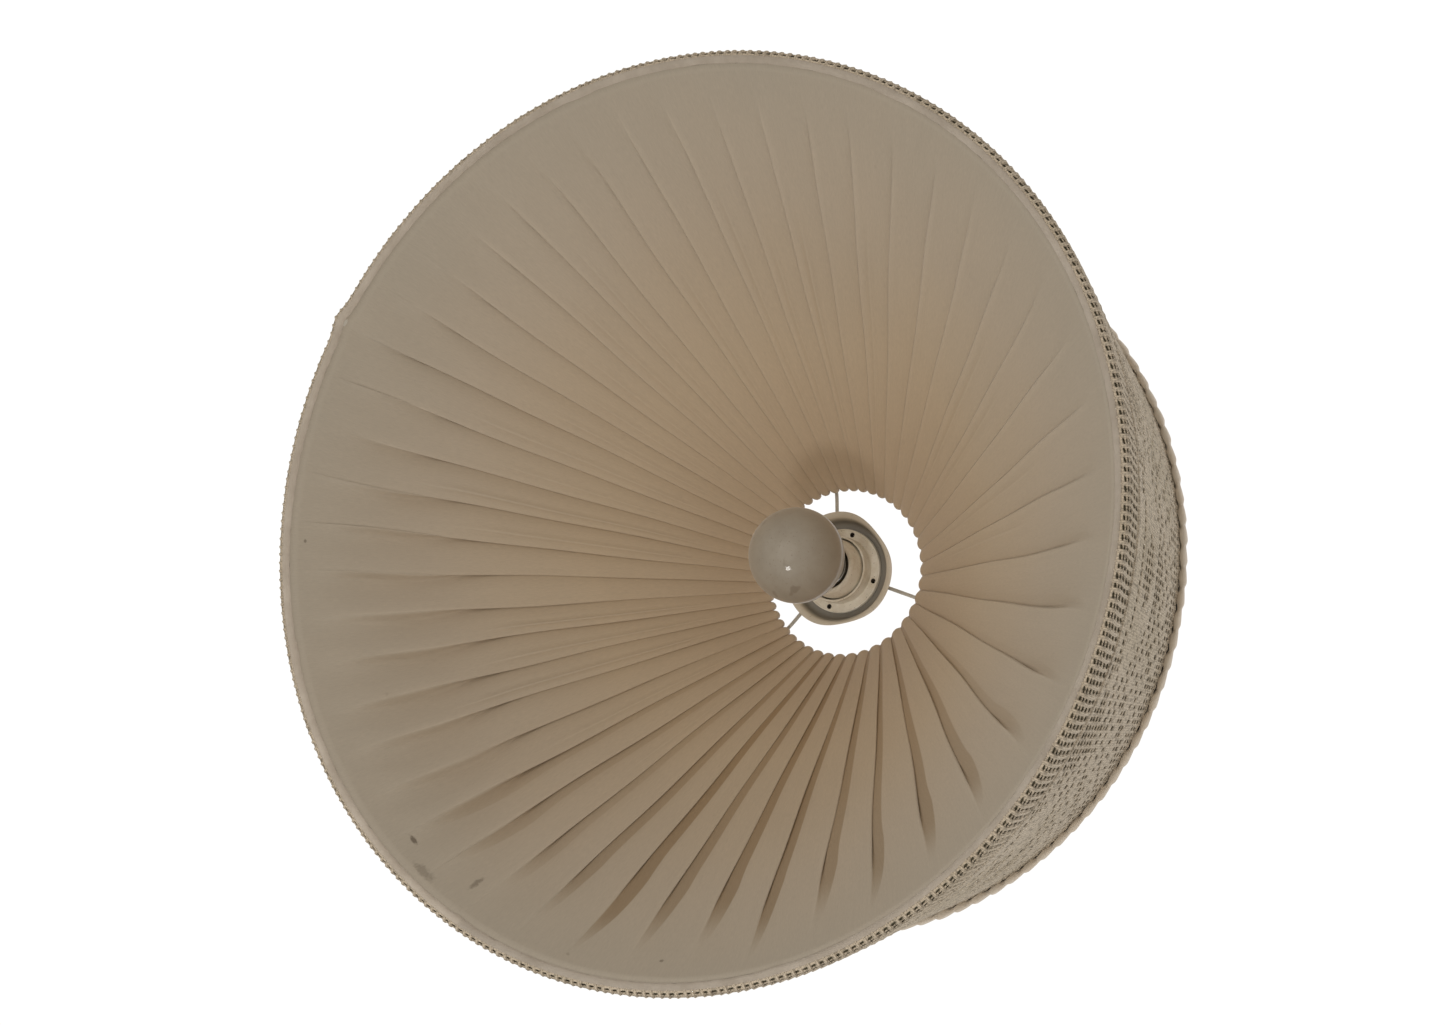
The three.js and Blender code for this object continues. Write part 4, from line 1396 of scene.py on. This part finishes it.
def cord_grip():
    """The six-sided nut that grips the cord."""
    grip = [(3.4, 259.6, 0.2), (4.8, 259.6, 0.3), (4.8, 267.9, 0.2), (8.4, 267.9, 0.4),
            (8.4, 275.6, 0.8), (7.6, 277, 0.8), (6.6, 280.4, 0.8), (6.0, 281, 0.4), (3.4, 281, 0.3)]

    def six_sided(radius, height, angle):
        if radius < 8 * MM or height < 267.8 * MM:
            return radius, height
        turn = (angle + math.pi / 6) % (math.pi / 3) - math.pi / 6
        return min(radius, 7.6 * MM / math.cos(turn)), height

    turned("cord_grip_nut", rounded(scaled(grip)), 96, PLASTIC, change=six_sided, slot="white_plastic",
           node="cord_grip")


def thread_shell():
    """The threaded sleeve that takes the bulb's cap."""
    shell_low, shell_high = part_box("thread_shell")
    outer = [(13.7, shell_low.z / MM + 0.5 * k) for k in range(55)]
    inner = [(13.4, z) for _, z in reversed(outer)]
    turned("threaded_shell", scaled(outer + inner), 96, BRASS,
           change=threaded((shell_low.z + 1 * MM, shell_high.z - 1 * MM), 0.5 * MM, CAP_PITCH),
           slot="contact_brass", node="thread_shell")


def bulb():
    """A 60 mm opal globe bulb on a rolled E27 cap."""
    wall, steps = 0.9, 32
    globe = []
    for k in range(steps + 1):
        a = math.radians(-90 + 132 * k / steps)
        globe.append((GLOBE_RADIUS * math.cos(a) if k else 0.0,
                      GLOBE_HEIGHT + GLOBE_RADIUS * math.sin(a)))
    neck = [(19.6, 189.2), (17.3, 193), (15.2, 196.9), (13.9, 201), (13.1, 204.8), (12.2, 207.4),
            (11.6, 209.4), (11.6, 214.5)]
    line = globe + neck
    inner = [(max(r - wall, 0.0) if r else 0.0, z + (wall if r < 8 and z < 150 else 0))
             for r, z in line]
    turned("bulb_globe", scaled(line + inner[::-1]), 128, GLASS, body="bulb", slot="frosted_glass",
           node="bulb_glass")

    low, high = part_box("bulb_cap")
    foot, head = low.z / MM, high.z / MM
    outside = [(12.7, foot + 0.5 * k, 0) for k in range(48)]
    top = [(12.5, foot + 24.2, 0.4), (9.4, head, 0.5), (5.2, head, 0.1), (5.2, head - 0.4, 0.1),
           (9.2, head - 0.4, 0.3), (12.1, foot + 23.8, 0.3), (12.1, foot, 0.1)]
    turned("bulb_screw_cap", rounded(scaled(outside + top)), 96, CAP, body="bulb",
           change=threaded((low.z + 3 * MM, low.z + 23 * MM), 0.6 * MM, CAP_PITCH),
           slot="cap_metal", node="bulb_cap")


def dress_hidden_nodes():
    """The small inner pieces keep their own shape and take a finish."""
    finishes = {
        "grip_screw": PLASTIC, "contact_insert": PORCELAIN, "side_contact": BRASS,
        "centre_contact": BRASS, "terminal_screw_1": BRASS, "terminal_screw_2": BRASS,
        "bulb_insulator": BLACK_GLASS, "bulb_contact": CAP,
    }
    for name, finish in finishes.items():
        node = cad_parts[name]
        node.data.materials.clear()
        node.data.materials.append(finish)


# ---------------------------------------------------------------- the shade

make_camera()
make_surroundings()

SATIN = satin_finish()
SATIN_BACK = satin_back_finish()
LACE = lace_finish()
SHADE_NET = shade_net_finish()
HEM = tape_finish("hem_tape", shade(220, 210, 198), shade(202, 191, 178))
BINDING = tape_finish("binding_tape", shade(250, 240, 226), shade(236, 222, 204), 0.15)
WIRE = wire_finish()
ENAMEL = enamel_finish()
PLASTIC = plastic_finish()
HOLE_SHADE = hole_shade_finish()
PORCELAIN = porcelain_finish()
BRASS = metal_finish("contact_brass", shade(186, 156, 92), shade(120, 96, 60), 0.28)
CAP = metal_finish("cap_metal", shade(200, 200, 198), shade(140, 138, 132), 0.3)
GLASS = bulb_finish()
BLACK_GLASS = black_glass_finish()

frame_wires()
spider_cup()
holder_skirt()
shade_ring()
holder_back()
cord_grip()
thread_shell()
bulb()
dress_hidden_nodes()
lining()
lining_hem()
cover, cover_length = lace_cover()
posts = edge_posts()
ridges = lace_ridges()
underlay = cover_underlay()
top_binding()
math.pi * (MOUTH_RADIUS + TOP_RADIUS) * cover_length
